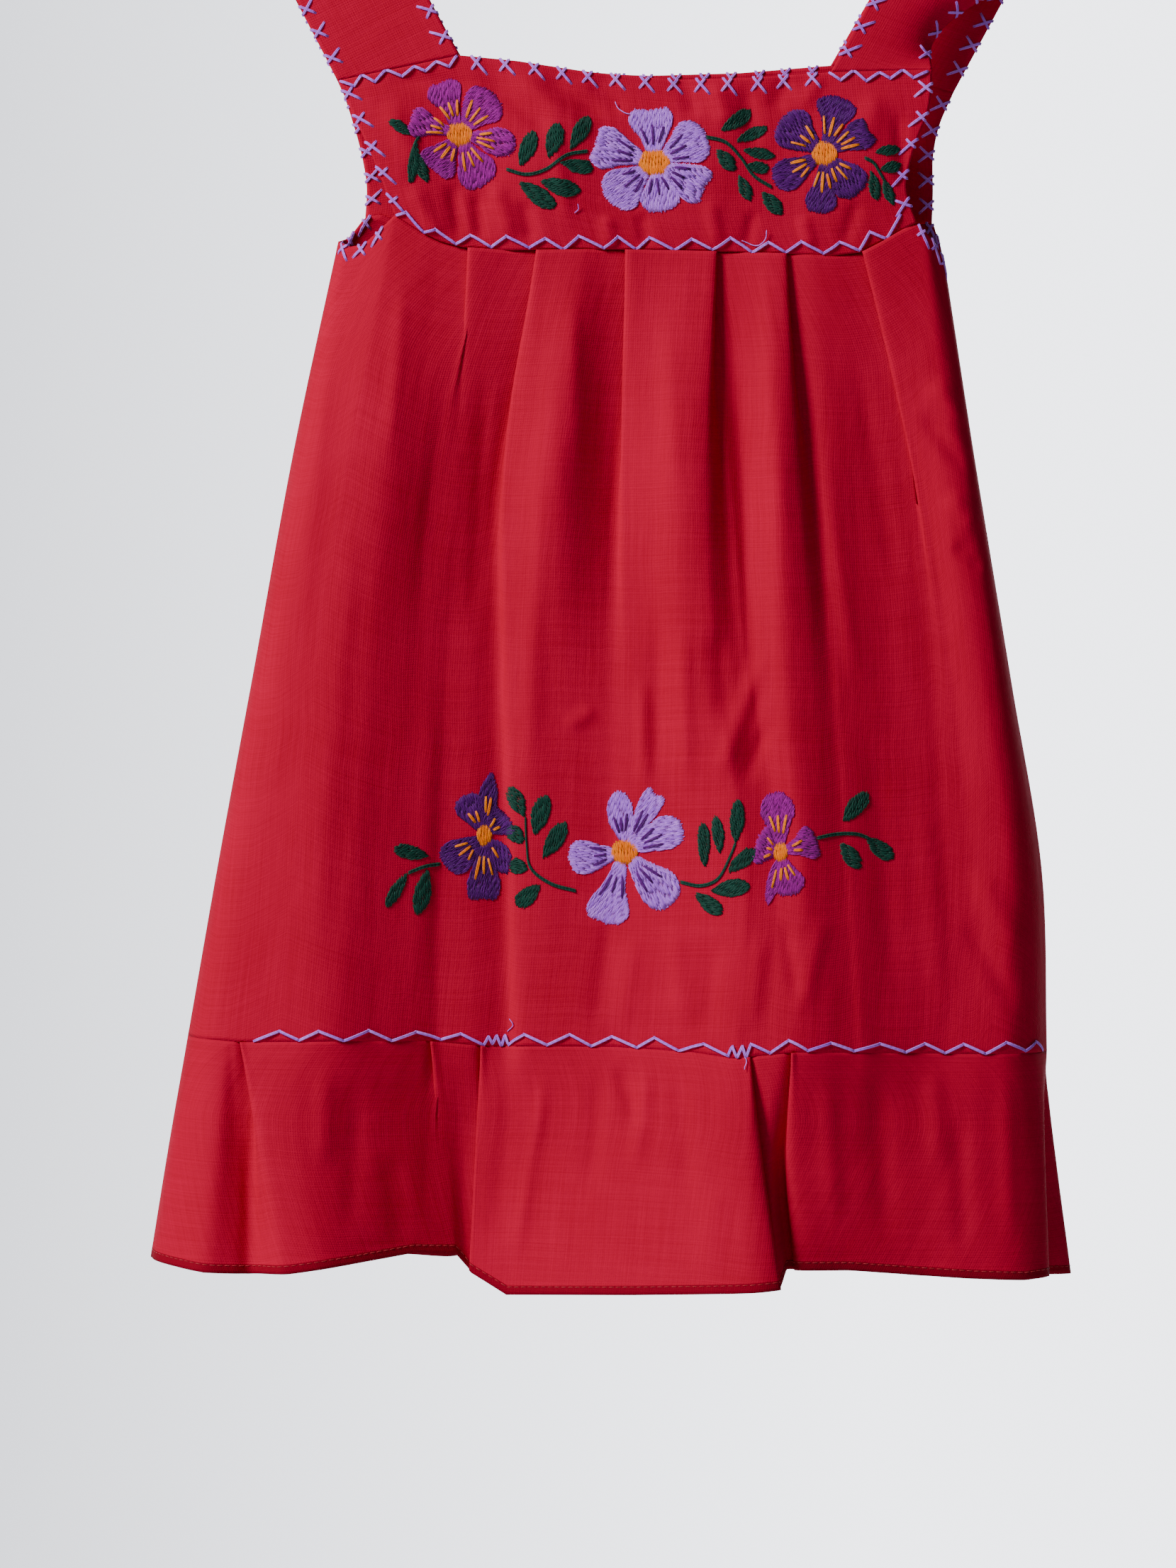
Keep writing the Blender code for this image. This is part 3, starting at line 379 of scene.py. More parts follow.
def skirt_lines(rows, flatter=1.0):
    lines = [side_line(SIDE_LEFT)]
    lines += flank_lines(SIDE_LEFT, LEFT_FLANK, 1, flatter)
    lines += panel_lines(rows, lambda x: SKIRT_SEAM_DEPTH, SKIRT_UNDERLAY)
    lines += flank_lines(SIDE_RIGHT, RIGHT_FLANK, -1, flatter)
    lines.append(side_line(SIDE_RIGHT))
    return np.array(lines, float)


def back_skirt_rows():
    """The back skirt's pleats, with a line on the cloth behind and between them."""
    rows = []
    for seam_x in BACK_PLEATS_AT:
        faces = LEFT if seam_x < 0 else RIGHT
        fold = [seam_x * spread for spread in BACK_SPREAD]
        hollow = [x + faces * reach for x, reach in zip(fold[1:], BACK_HOLLOW_REACH)]
        pleat = Pleat(faces, fold, BACK_FOLD_DEPTH, hollow, BACK_HOLLOW_DEPTH)
        beside = [seam_x + faces * SKIRT_UNDERLAY * 0.8]
        beside += [x + faces * 5.0 for x in hollow]
        panel = Soft(beside, 0.9, [depth - 1.0 for depth in BACK_HOLLOW_DEPTH])
        rows += [panel, pleat] if faces == LEFT else [pleat, panel]
    middle = len(rows) // 2
    rows.insert(middle, Soft((2.0,) * len(SKIRT_STATIONS), FRONT_LAYER, (-15.0, -18.0, -21.0, -23.0)))
    return rows


def ruffle_lines(rows, skirt_hem):
    """Every line that runs down a ruffle, starting level with the skirt's lower edge."""
    hem = skirt_hem[np.argsort(skirt_hem[:, 0])]
    lines = [side_line(RUFFLE_SIDE_LEFT)]
    lines += panel_lines(rows, lambda x: np.interp(x, hem[:, 0], hem[:, 1]), RUFFLE_UNDERLAY)
    lines.append(side_line(RUFFLE_SIDE_RIGHT))
    return np.array(lines, float)


def drop_along(edge, x):
    return np.interp(x, [p[0] for p in edge], [p[1] for p in edge])


def hung_surface(lines, stations, top_edge, bottom_edge, rows, spacing):
    """Grid of (x, depth, drop): rows down the cloth, columns across it about spacing apart."""
    shares = np.linspace(0, 1, rows)
    nodes = np.array([between_stations(s, stations, lines.transpose(1, 0, 2)) for s in shares])
    longest = np.linalg.norm(np.diff(nodes, axis=1), axis=2).max(axis=0)
    sections = through(nodes, [max(2, math.ceil(length / spacing)) for length in longest])
    top = drop_along(top_edge, sections[0, :, 0]) + SEAM_GAP
    bottom = drop_along(bottom_edge, sections[-1, :, 0])
    drops = top + (bottom - top) * shares[:, None]
    return np.dstack([sections, drops])


Waves = namedtuple("Waves", "height number phase fading swell")


def yoke_surface(left, right, top_line, bottom_edge, rows, columns, waves):
    """Grid of (x, depth, drop) of a yoke between its armhole edges, neck line and skirt seam.
    The waves stand upright across it, and fade towards its right."""
    left, right = curve(left, 8), curve(right, 8)
    across = np.linspace(0, 1, columns)
    tops = np.interp(across, [p[0] for p in top_line], [p[1] for p in top_line])
    wave = waves.height * np.sin(across * 2 * math.pi * waves.number + waves.phase)
    wave = wave * (1 - waves.fading * across) + waves.swell
    surface = []
    for share in np.linspace(0, 1, rows):
        down = share * (len(left) - 1)
        edge_left = np.interp(down, np.arange(len(left)), left[:, 0])
        edge_right = np.interp(down, np.arange(len(right)), right[:, 0])
        x = edge_left + across * (edge_right - edge_left)
        bottom_x = left[-1, 0] + across * (right[-1, 0] - left[-1, 0])
        bottoms = drop_along(bottom_edge, bottom_x)
        drops = tops + (bottoms - tops) * share
        depth = YOKE_DEPTH - math.sin(math.pi * share) * wave
        surface.append(np.column_stack([x, depth, drops]))
    return np.array(surface)


def creased(surface, creases):
    """The surface with each crease raised towards the front, or sunk."""
    x, depth, drop = surface[..., 0], surface[..., 1].copy(), surface[..., 2]
    for crease in creases:
        along = np.array([crease.x2 - crease.x1, crease.drop2 - crease.drop1])
        length = np.linalg.norm(along)
        along /= length
        s = ((x - crease.x1) * along[0] + (drop - crease.drop1) * along[1]) / length
        off = -(x - crease.x1) * along[1] + (drop - crease.drop1) * along[0]
        ends = np.clip(s * CREASE_ENDS, 0, 1) * np.clip((1 - s) * CREASE_ENDS, 0, 1)
        ends = ends * ends * (3 - 2 * ends)
        depth -= crease.height * ends * np.exp(-((off / crease.half_width) ** 2))
    return np.dstack([x, depth, drop])


def mirrored(creases, twice_middle):
    """The same kind of creases for the back, turned left to right."""
    return [
        crease._replace(x1=twice_middle - crease.x1, x2=twice_middle - crease.x2) for crease in creases
    ]


def outermost(row, xs):
    """Depth of the outermost layer of one row of cloth at each x."""
    depths = np.full(len(xs), np.inf)
    for (x1, depth1, _), (x2, depth2, _) in zip(row, row[1:]):
        inside = (xs >= min(x1, x2)) & (xs <= max(x1, x2))
        share = (xs[inside] - x1) / (x2 - x1 if abs(x2 - x1) > 1e-6 else 1e-6)
        depths[inside] = np.minimum(depths[inside], depth1 + (depth2 - depth1) * share)
    return depths


def sewn_to(surface, hem):
    """The ruffle with its upper edge drawn to the skirt's lower edge, to which it is sewn."""
    xs = np.linspace(hem[0, 0] + 1.0, hem[-1, 0] - 1.0, 700)
    drawn = outermost(hem, xs) - outermost(surface[0], xs)
    drawn = np.convolve(np.pad(drawn, 3, mode="edge"), np.full(7, 1 / 7), mode="valid")
    x, depth, drop = surface[..., 0], surface[..., 1], surface[..., 2]
    fade = np.clip(1 - (drop - drop[0]) / SEAM_REACH, 0, 1) ** 2
    return np.dstack([x, depth + np.interp(x[0], xs, drawn) * fade, drop])


def with_hem(surface):
    """The ruffle with its turned-up hem: the doubled band stands out a little up to its stitches."""
    x, depth, drop = surface[..., 0], surface[..., 1], surface[..., 2]
    above_hem = drop[-1] - drop
    band = np.clip((HEM_FOLD + HEM_STEP - above_hem) / HEM_STEP, 0, 1)
    return np.dstack([x, depth - HEM_RIDGE * band, drop])


def bar_drop(x):
    """Drop of the hanger bar's middle line: two straight arms with a soft bend between them."""
    return HANGER_DROP + math.sqrt(x * x + BAR_BEND**2) * math.tan(ARM_SLOPE)


def strap_surface(side, front_seam, back_seam, rows, columns):
    """Grid of a strap: up from the front yoke, over the hanger's arm and down to the back yoke."""
    sign = -1 if side == "left" else 1
    along_arm = np.array([sign * math.cos(ARM_SLOPE), 0.0, math.sin(ARM_SLOPE)])
    above_arm = np.array([sign * math.sin(ARM_SLOPE), 0.0, -math.cos(ARM_SLOPE)])
    outward = np.array([0.0, -1.0, 0.0])
    centre = np.array([STRAP_AT_BAR[side], 0.0, bar_drop(STRAP_AT_BAR[side])])
    curl_way = np.array([-sign * 0.95, 0.8, 0.0])
    leg = np.linspace(0, 1, rows)[:-1]
    turn = np.linspace(0, math.pi, 17)
    surface = []
    for across in np.linspace(0, 1, columns):
        over = centre + along_arm * STRAP_WIDTH * (across - 0.5)
        foot = front_seam[0] + (front_seam[1] - front_seam[0]) * (1 - across)
        line = []
        for t in leg:
            curl = STRAP_CURL[side] * math.sin(math.pi * t) * across**3
            line.append(foot + (over + outward * FOLD_RADIUS - foot) * t + curl_way * curl)
        for angle in turn:
            line.append(over + FOLD_RADIUS * (math.cos(angle) * outward + math.sin(angle) * above_arm))
        foot = back_seam[0] + (back_seam[1] - back_seam[0]) * (1 - across)
        for t in leg[::-1]:
            line.append(foot + (over - outward * FOLD_RADIUS - foot) * t)
        surface.append(line)
    return np.array(surface)


def strap_seam(top_row, share_from, share_to):
    """The two ends of a strap's seam on a yoke's top row, just above the yoke."""
    lift = np.array([0.0, 0.0, -SEAM_GAP])
    shares = np.linspace(0, 1, len(top_row))
    return [top_row[np.argmin(abs(shares - share))] + lift for share in (share_from, share_to)]


# Meshes


def unit(vectors):
    """The vectors at length 1."""
    return vectors / np.maximum(np.linalg.norm(vectors, axis=-1, keepdims=True), 1e-9)


def grid_normals(grid):
    """Unit normals of a grid of points, as cross products of its two directions."""
    return unit(np.cross(np.gradient(grid, axis=0), np.gradient(grid, axis=1)))


def grid_faces(rows, columns):
    index = np.arange(rows * columns).reshape(rows, columns)
    corners = (index[:-1, :-1], index[1:, :-1], index[1:, 1:], index[:-1, 1:])
    return np.stack([c.ravel() for c in corners], axis=1)


def tube_faces(rings, sides, start=0):
    """The faces of a closed tube whose points lie ring after ring: its side, then its two caps."""
    faces = []
    for ring in range(rings - 1):
        for k in range(sides):
            a = start + ring * sides + k
            b = start + ring * sides + (k + 1) % sides
            faces.append((a, a + sides, b + sides, b))
    last = start + (rings - 1) * sides
    faces.append(tuple(range(start, start + sides)))
    faces.append(tuple(reversed(range(last, last + sides))))
    return faces


def new_mesh(name, points, faces, finish, uv=None):
    """A smooth-shaded mesh object from points in metres. uv is one pair of metres for each point."""
    mesh = bpy.data.meshes.new(name)
    mesh.from_pydata(points.tolist(), [], faces)
    mesh.materials.append(finish)
    if uv is not None:
        layer = mesh.uv_layers.new(name="cloth")
        corner = np.empty(len(mesh.loops), dtype=np.int32)
        mesh.loops.foreach_get("vertex_index", corner)
        layer.data.foreach_set("uv", uv[corner].astype(np.float32).ravel())
    mesh.shade_smooth()
    obj = bpy.data.objects.new(name, mesh)
    bpy.context.scene.collection.objects.link(obj)
    return obj


class Panel:
    """A cloth panel: its middle surface in millimetres and its two faces in metres."""

    def __init__(self, name, surface, flip=False, hemmed=False):
        self.name = name
        self.grid = surface
        self.flip = flip
        self.hemmed = hemmed
        middle = surface * TO_METRES
        self.normals = grid_normals(middle) * (-1.0 if flip else 1.0)
        self.outer = middle + self.normals * SHELL * MM / 2
        self.inner = middle - self.normals * SHELL * MM / 2
        self.tree = BVHTree.FromPolygons(
            self.outer.reshape(-1, 3).tolist(), grid_faces(*surface.shape[:2]).tolist()
        )

    def cloth_uv(self):
        """Metres across the cloth from its middle, and down it from its top edge."""
        middle = self.grid * MM
        across, down = np.zeros(middle.shape[:2]), np.zeros(middle.shape[:2])
        across[:, 1:] = np.cumsum(np.linalg.norm(np.diff(middle, axis=1), axis=2), axis=1)
        down[1:] = np.cumsum(np.linalg.norm(np.diff(middle, axis=0), axis=2), axis=0)
        return np.stack([across - across[:, -1:] / 2, -down], axis=2).reshape(-1, 2)

    def build(self, finish):
        """The panel as a closed shell: its outer face, its inner face and the rim between them."""
        rows, columns = self.grid.shape[:2]
        behind = rows * columns
        front = grid_faces(rows, columns)
        index = np.arange(behind).reshape(rows, columns)
        rim = np.concatenate([index[0, :-1], index[:-1, -1], index[-1, :0:-1], index[:0:-1, 0]])
        after = np.roll(rim, -1)
        edge = np.stack([rim, after, after + behind, rim + behind], axis=1)
        if self.flip:
            front, edge = front[:, ::-1], edge[:, ::-1]
        faces = np.concatenate([front, front[:, ::-1] + behind, edge])
        points = np.concatenate([self.outer.reshape(-1, 3), self.inner.reshape(-1, 3)])
        piece = new_mesh(self.name, points, faces.tolist(), finish, np.tile(self.cloth_uv(), (2, 1)))
        if self.hemmed:
            above_hem = (self.grid[-1, :, 2] - self.grid[..., 2]).ravel()
            near_hem = piece.data.attributes.new("near_hem", "FLOAT", "POINT")
            near_hem.data.foreach_set("value", np.tile(np.maximum(1 - above_hem / HEM_SPAN, 0), 2))
        return piece


# Materials


def set_inputs(tree, node, inputs):
    """Each input gets a constant, or a link where its value is another node's output."""
    for key, value in inputs.items():
        if isinstance(value, bpy.types.NodeSocket):
            tree.links.new(value, node.inputs[key])
        else:
            node.inputs[key].default_value = value


def add_node(tree, kind, inputs, **settings):
    node = tree.nodes.new(kind)
    for key, value in settings.items():
        setattr(node, key, value)
    set_inputs(tree, node, inputs)
    return node


def shader_material(name, inputs):
    made = bpy.data.materials.new(name)
    made.use_nodes = True
    shader = made.node_tree.nodes["Principled BSDF"]
    set_inputs(made.node_tree, shader, inputs)
    return made, made.node_tree, shader


def colour_ramp(tree, factor, stops):
    ramp = add_node(tree, "ShaderNodeValToRGB", {"Fac": factor})
    while len(ramp.color_ramp.elements) < len(stops):
        ramp.color_ramp.elements.new(0.5)
    for element, (place, colour) in zip(ramp.color_ramp.elements, stops):
        element.position = place
        element.color = (*colour, 1.0)
    return ramp.outputs["Color"]


def maths(tree, operation, first, second):
    return add_node(tree, "ShaderNodeMath", {0: first, 1: second}, operation=operation).outputs[0]


def on_object(tree):
    return add_node(tree, "ShaderNodeTexCoord", {}).outputs["Object"]


def on_cloth_uv(tree):
    return add_node(tree, "ShaderNodeUVMap", {}, uv_map="cloth").outputs["UV"]


def scaled(tree, vector, scale):
    return add_node(tree, "ShaderNodeMapping", {"Vector": vector, "Scale": scale}).outputs["Vector"]


def noise(tree, vector, scale, detail, roughness=0.5, distortion=0.0):
    return add_node(tree, "ShaderNodeTexNoise", {
        "Vector": vector, "Scale": scale, "Detail": detail, "Roughness": roughness, "Distortion": distortion,
    }).outputs["Fac"]


def map_range(tree, value, start, end, low, high):
    return add_node(tree, "ShaderNodeMapRange", {
        "Value": value, "From Min": start, "From Max": end, "To Min": low, "To Max": high,
    }).outputs["Result"]


def bands(tree, vector, direction, inputs):
    return add_node(
        tree, "ShaderNodeTexWave", {"Vector": vector, **inputs}, wave_type="BANDS", bands_direction=direction
    ).outputs["Fac"]


def bump(tree, height, strength, distance, under=None):
    inputs = {"Height": height, "Strength": strength, "Distance": distance}
    if under is not None:
        inputs["Normal"] = under
    return add_node(tree, "ShaderNodeBump", inputs).outputs["Normal"]


def cloth_material():
    """Fine plain-woven red cotton: two sets of threads, uneven dye, small crinkles and a darker
    band where the hem is doubled."""
    made, tree, shader = shader_material("red_cotton", {
        "Roughness": 0.82, "Sheen Weight": 0.015, "Sheen Roughness": 0.45,
        "Sheen Tint": (1.0, 0.45, 0.4, 1.0), "Specular IOR Level": 0.08,
    })
    uv, place = on_cloth_uv(tree), on_object(tree)
    threads = {"Scale": 340.0, "Distortion": 1.2, "Detail": 1.0, "Detail Scale": 0.6}
    weave = maths(tree, "MULTIPLY", bands(tree, uv, "X", threads), bands(tree, uv, "Y", threads))
    slub = noise(tree, place, 900.0, 2.0, 0.6)
    crinkle = noise(tree, scaled(tree, uv, (90.0, 28.0, 1.0)), 1.0, 4.0, 0.55)
    relief = bump(tree, maths(tree, "ADD", weave, slub), 0.35, 0.0002, bump(tree, crinkle, 0.5, 0.0009))
    warp = noise(tree, scaled(tree, uv, (1400.0, 22.0, 1.0)), 1.0, 2.0, 0.55)
    weft = noise(tree, scaled(tree, uv, (22.0, 1400.0, 1.0)), 1.0, 2.0, 0.55)
    yarns = maths(tree, "MULTIPLY", maths(tree, "ADD", warp, weft), 0.4)
    dye = maths(tree, "MULTIPLY", noise(tree, place, 26.0, 3.0, 0.55), 0.3)
    near_hem = add_node(tree, "ShaderNodeAttribute", {}, attribute_name="near_hem").outputs["Fac"]
    fold_starts = 1 - (HEM_FOLD + 0.2) / HEM_SPAN
    doubled = map_range(tree, near_hem, fold_starts, 1 - HEM_FOLD / HEM_SPAN, 0.0, 0.6)
    tone = maths(tree, "SUBTRACT", maths(tree, "ADD", yarns, dye), doubled)
    colour = colour_ramp(tree, tone, (
        (0.0, (0.26, 0.0006, 0.014)), (0.18, (0.36, 0.0009, 0.019)),
        (0.25, (0.42, 0.001, 0.022)), (0.35, (0.42, 0.001, 0.022)), (0.75, (0.57, 0.002, 0.042)),
    ))
    set_inputs(tree, shader, {"Base Color": colour, "Normal": relief})
    return made


def thread_material(name, dark, light):
    """Twisted cotton thread: a shade of its own for each stitch, and fine plies along it."""
    made, tree, shader = shader_material(name, {
        "Roughness": 0.55, "Sheen Weight": 0.04, "Sheen Roughness": 0.4, "Specular IOR Level": 0.2,
    })
    stitch = add_node(tree, "ShaderNodeNewGeometry", {}).outputs["Random Per Island"]
    fibres = noise(tree, on_object(tree), 1600.0, 2.0)
    tone = maths(tree, "ADD", maths(tree, "MULTIPLY", stitch, 0.5), maths(tree, "MULTIPLY", fibres, 0.5))
    plies = bands(tree, on_cloth_uv(tree), "DIAGONAL", {"Scale": 320.0, "Distortion": 0.6})
    set_inputs(tree, shader, {
        "Base Color": colour_ramp(tree, tone, ((0.15, dark), (0.85, light))),
        "Normal": bump(tree, plies, 0.6, 0.0001),
    })
    return made


def wood_material():
    """Pale beech, its grain along the bar under a thin coat of varnish."""
    made, tree, shader = shader_material("beech", {"Roughness": 0.42, "Coat Weight": 0.3})
    grain = noise(tree, scaled(tree, on_object(tree), (6.0, 60.0, 60.0)), 6.0, 5.0, 0.5, 0.5)
    set_inputs(tree, shader, {
        "Base Color": colour_ramp(tree, grain, ((0.3, (0.42, 0.24, 0.11)), (0.7, (0.62, 0.41, 0.22)))),
        "Normal": bump(tree, grain, 0.15, 0.0003),
    })
    return made


def wire_material():
    """Bright steel wire, very slightly uneven."""
    made, tree, shader = shader_material("hook_wire", {
        "Roughness": 0.22, "Metallic": 1.0, "Base Color": (0.72, 0.72, 0.74, 1.0),
    })
    uneven = noise(tree, on_object(tree), 700.0, 2.0)
    set_inputs(tree, shader, {"Normal": bump(tree, uneven, 0.08, 0.0002)})
    return made


# Thread


def across_cloth(path, normals):
    """Unit vectors along a path, and beside it on the cloth."""
    tangent = unit(np.gradient(path, axis=0))
    return tangent, unit(np.cross(tangent, normals))


class Threads:
    """Stitches of one colour, gathered as closed tubes and joined into one mesh."""

    def __init__(self):
        self.points = []
        self.faces = []
        self.uv = []
        self.count = 0

    def add(self, path, normals, radius, sides=5, flat=0.8):
        """One stitch: path in metres with the cloth's normal at each point, radius in mm."""
        path = np.asarray(path, float)
        tangent, side = across_cloth(path, np.asarray(normals, float))
        up = np.cross(side, tangent)
        radii = np.full(len(path), radius * MM)
        radii[[0, -1]] *= THREAD_END
        angle = 2 * math.pi * np.arange(sides) / sides + math.pi / 2
        ring = (
            np.cos(angle)[None, :, None] * side[:, None] + flat * np.sin(angle)[None, :, None] * up[:, None]
        )
        points = path[:, None] + ring * radii[:, None, None]
        along = np.concatenate([[0.0], np.cumsum(np.linalg.norm(np.diff(path, axis=0), axis=1))])
        around = np.arange(sides) / sides * 2 * math.pi * radius * MM
        uv = np.stack(np.broadcast_arrays(along[:, None], around[None, :]), axis=2)
        self.faces.extend(tube_faces(len(path), sides, self.count))
        self.points.append(points.reshape(-1, 3))
        self.uv.append(uv.reshape(-1, 2))
        self.count += len(path) * sides

    def build(self, colour, finish):
        points, uv = np.concatenate(self.points), np.concatenate(self.uv)
        piece = new_mesh(f"threads_{colour}", points, self.faces, finish, uv)
        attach(piece, "root")


EYE = TO_METRES * np.array([
    (PHOTO_LEFT + PHOTO_RIGHT) / 2, YOKE_DEPTH - CAMERA_DISTANCE, (PHOTO_TOP + PHOTO_BOTTOM) / 2
])


def on_cloth(panel, place, lift):
    """The point lift mm above a panel where the camera sees a place (x, drop), and its normal."""
    target = np.array([place[0], YOKE_DEPTH, place[1]]) * TO_METRES
    hit = panel.tree.ray_cast(Vector(EYE), Vector(target - EYE))
    if hit[0] is None:
        hit = panel.tree.find_nearest(Vector(target))
    normal = np.array(hit[1])
    if np.dot(normal, EYE - np.array(hit[0])) < 0:
        normal = -normal
    return np.array(hit[0]) + normal * lift * MM, normal


def lay_thread(threads, panel, places, lifts, radius, sides=5):
    """A stitch through the given places, as the camera sees them, on a panel."""
    placed = [on_cloth(panel, place, lift) for place, lift in zip(places, lifts)]
    threads.add([p[0] for p in placed], [p[1] for p in placed], radius, sides)


# Embroidery, in millimetres as the camera sees it on the plane of the yoke. Angles are in degrees,
# 0 to the right and 90 up. A flower's slant turns its stitches from the line of each petal.

Petal = namedtuple("Petal", "angle reach width shape streaks")
Flower = namedtuple("Flower", "panel x y eye colour streak slant petals")
Leaf = namedtuple("Leaf", "panel x1 y1 x2 y2 width")
Stem = namedtuple("Stem", "panel route")

# Half widths along a petal or leaf, as (share of its length, share of its half width)
SHAPES = {
    "round": ((0.0, 0.22), (0.3, 0.62), (0.65, 1.0), (0.9, 0.8), (1.0, 0.3)),
    "notched": ((0.0, 0.22), (0.35, 0.62), (0.72, 1.0), (0.96, 0.75), (0.93, 0.0)),
    "flared": ((0.0, 0.2), (0.4, 0.5), (0.8, 1.0), (0.97, 0.7), (1.0, 0.2)),
    "pointed": ((0.0, 0.3), (0.35, 0.9), (0.65, 0.85), (0.88, 0.4), (1.0, 0.0)),
    "leaf": ((0.0, 0.05), (0.22, 0.65), (0.5, 1.0), (0.8, 0.85), (0.96, 0.35), (1.0, 0.0)),
}


def petals(*rows):
    return [Petal(*row) for row in rows]


FLOWERS = (
    Flower("yoke_front", -70.5, 197.5, (5.0, 5.0), "magenta", "orange", -20, petals(
        (110, 21.5, 14.0, "flared", 3), (52, 20.0, 16.5, "round", 3), (-11, 21.5, 11.5, "round", 3),
        (-66, 21.5, 15.0, "round", 3), (-128, 18.0, 15.0, "notched", 3), (163, 20.0, 12.0, "flared", 3),
    )),
    Flower("yoke_front", 5.0, 208.5, (6.1, 5.2), "lilac", "dark_purple", -10, petals(
        (93, 21.5, 17.5, "notched", 3), (28, 22.5, 17.0, "round", 3), (-27, 23.0, 16.0, "notched", 3),
        (-81, 19.0, 15.5, "round", 3), (-141, 22.5, 16.5, "round", 3), (162, 25.0, 16.5, "notched", 3),
    )),
    Flower("yoke_front", 71.0, 205.0, (5.0, 5.0), "dark_purple", "orange", -15, petals(
        (75, 22.5, 15.5, "flared", 3), (28, 20.5, 12.0, "notched", 3), (-48, 20.0, 14.5, "round", 3),
        (-94, 22.5, 12.5, "flared", 3), (-150, 22.0, 13.0, "round", 3), (143, 21.0, 16.5, "round", 3),
    )),
    Flower("skirt_front", -61.0, 469.5, (2.8, 4.4), "dark_purple", "orange", -10, petals(
        (118, 17.0, 11.5, "round", 2), (84, 25.0, 8.0, "pointed", 2), (44, 11.5, 14.5, "round", 2),
        (-58, 17.0, 11.0, "pointed", 1), (-91, 25.5, 13.0, "notched", 3), (-142, 19.0, 14.0, "round", 3),
    )),
    Flower("skirt_front", -6.5, 476.0, (5.2, 5.0), "lilac", "dark_purple", -15, petals(
        (96, 24.0, 10.0, "leaf", 3), (62, 27.0, 9.5, "notched", 2), (25, 24.0, 13.5, "round", 3),
        (-47, 27.0, 15.5, "round", 3), (-107, 28.0, 17.0, "flared", 3), (-173, 21.5, 14.0, "round", 3),
    )),
    Flower("skirt_front", 54.0, 476.0, (2.8, 4.1), "magenta", "orange", -20, petals(
        (94, 23.0, 13.0, "round", 3), (18, 14.5, 14.0, "flared", 2), (-74, 17.0, 11.5, "round", 3),
        (-104, 21.0, 5.5, "pointed", 1), (163, 10.0, 15.0, "round", 3),
    )),
)
LEAVES = [Leaf("yoke_front", *row) for row in (
    (-89.5, 197.5, -97.5, 192.0, 4.0), (-87.5, 200.0, -89.5, 216.5, 4.0), (-88.5, 203.0, -83.0, 216.0, 4.0),
    (-47.0, 209.5, -41.5, 196.5, 6.0), (-36.0, 206.5, -32.0, 193.0, 6.5), (-27.5, 203.0, -20.5, 190.5, 6.0),
    (-31.0, 208.5, -18.5, 211.0, 5.5), (-39.0, 215.5, -24.0, 220.0, 6.5), (-47.0, 216.0, -33.5, 226.0, 6.5),
    (31.0, 196.0, 42.5, 188.5, 5.5), (37.0, 200.0, 48.5, 195.0, 4.5), (39.5, 203.5, 51.5, 206.0, 4.0),
    (41.0, 209.5, 49.5, 211.0, 4.5), (29.5, 203.5, 36.0, 211.5, 5.5), (38.0, 213.5, 42.0, 223.0, 4.5),
    (47.0, 220.0, 54.5, 228.5, 5.5), (91.0, 204.0, 100.0, 203.5, 4.0), (93.0, 211.0, 100.5, 209.5, 4.5),
    (89.0, 212.0, 91.5, 223.0, 4.5), (94.0, 215.0, 97.5, 224.5, 4.0),
)] + [Leaf("skirt_front", *row) for row in (
    (-83.0, 477.5, -96.0, 474.5, 5.5), (-91.0, 484.5, -99.0, 497.0, 4.5), (-83.0, 483.0, -87.0, 500.0, 6.5),
    (-45.5, 462.0, -51.0, 450.5, 6.0), (-46.0, 472.5, -51.5, 466.0, 6.0), (-44.5, 483.0, -51.0, 480.0, 6.0),
    (-39.5, 489.0, -48.5, 496.5, 6.5), (-41.5, 469.0, -37.0, 454.0, 7.0), (-38.0, 478.0, -29.5, 464.5, 6.5),
    (24.5, 481.5, 24.0, 464.5, 5.0), (30.5, 476.5, 29.0, 462.0, 4.5), (36.5, 472.0, 37.5, 455.5, 5.5),
    (34.0, 483.5, 44.0, 475.0, 6.0), (27.5, 491.0, 42.0, 489.0, 6.5), (21.5, 492.0, 31.0, 500.0, 6.0),
    (78.5, 464.0, 87.5, 453.0, 6.5), (77.5, 472.5, 84.5, 482.0, 6.0), (87.5, 470.5, 97.5, 478.5, 6.0),
)]
STEMS = (
    Stem("yoke_front", ((-86.0, 198.5), (-87.5, 200.0), (-88.5, 202.5))),
    Stem("yoke_front", ((-52.5, 211.0), (-44.5, 213.0), (-37.0, 211.0), (-29.0, 205.5), (-21.0, 204.0))),
    Stem("yoke_front", ((25.0, 198.5), (32.5, 200.5), (38.5, 206.5), (43.5, 213.5), (50.5, 218.0))),
    Stem("yoke_front", ((86.5, 206.5), (90.0, 208.5), (92.5, 212.5), (94.0, 215.0))),
    Stem("skirt_front", ((-78.0, 480.5), (-84.0, 481.5), (-90.5, 484.0))),
    Stem("skirt_front", ((-45.0, 462.5), (-44.5, 473.5), (-43.0, 482.0), (-35.5, 488.0), (-25.5, 491.0))),
    Stem("skirt_front", ((15.0, 487.5), (23.0, 489.0), (29.5, 486.5), (34.5, 477.5), (36.5, 472.5))),
    Stem("skirt_front", ((68.0, 470.5), (75.5, 469.0), (83.5, 469.0), (88.0, 470.5))),
)
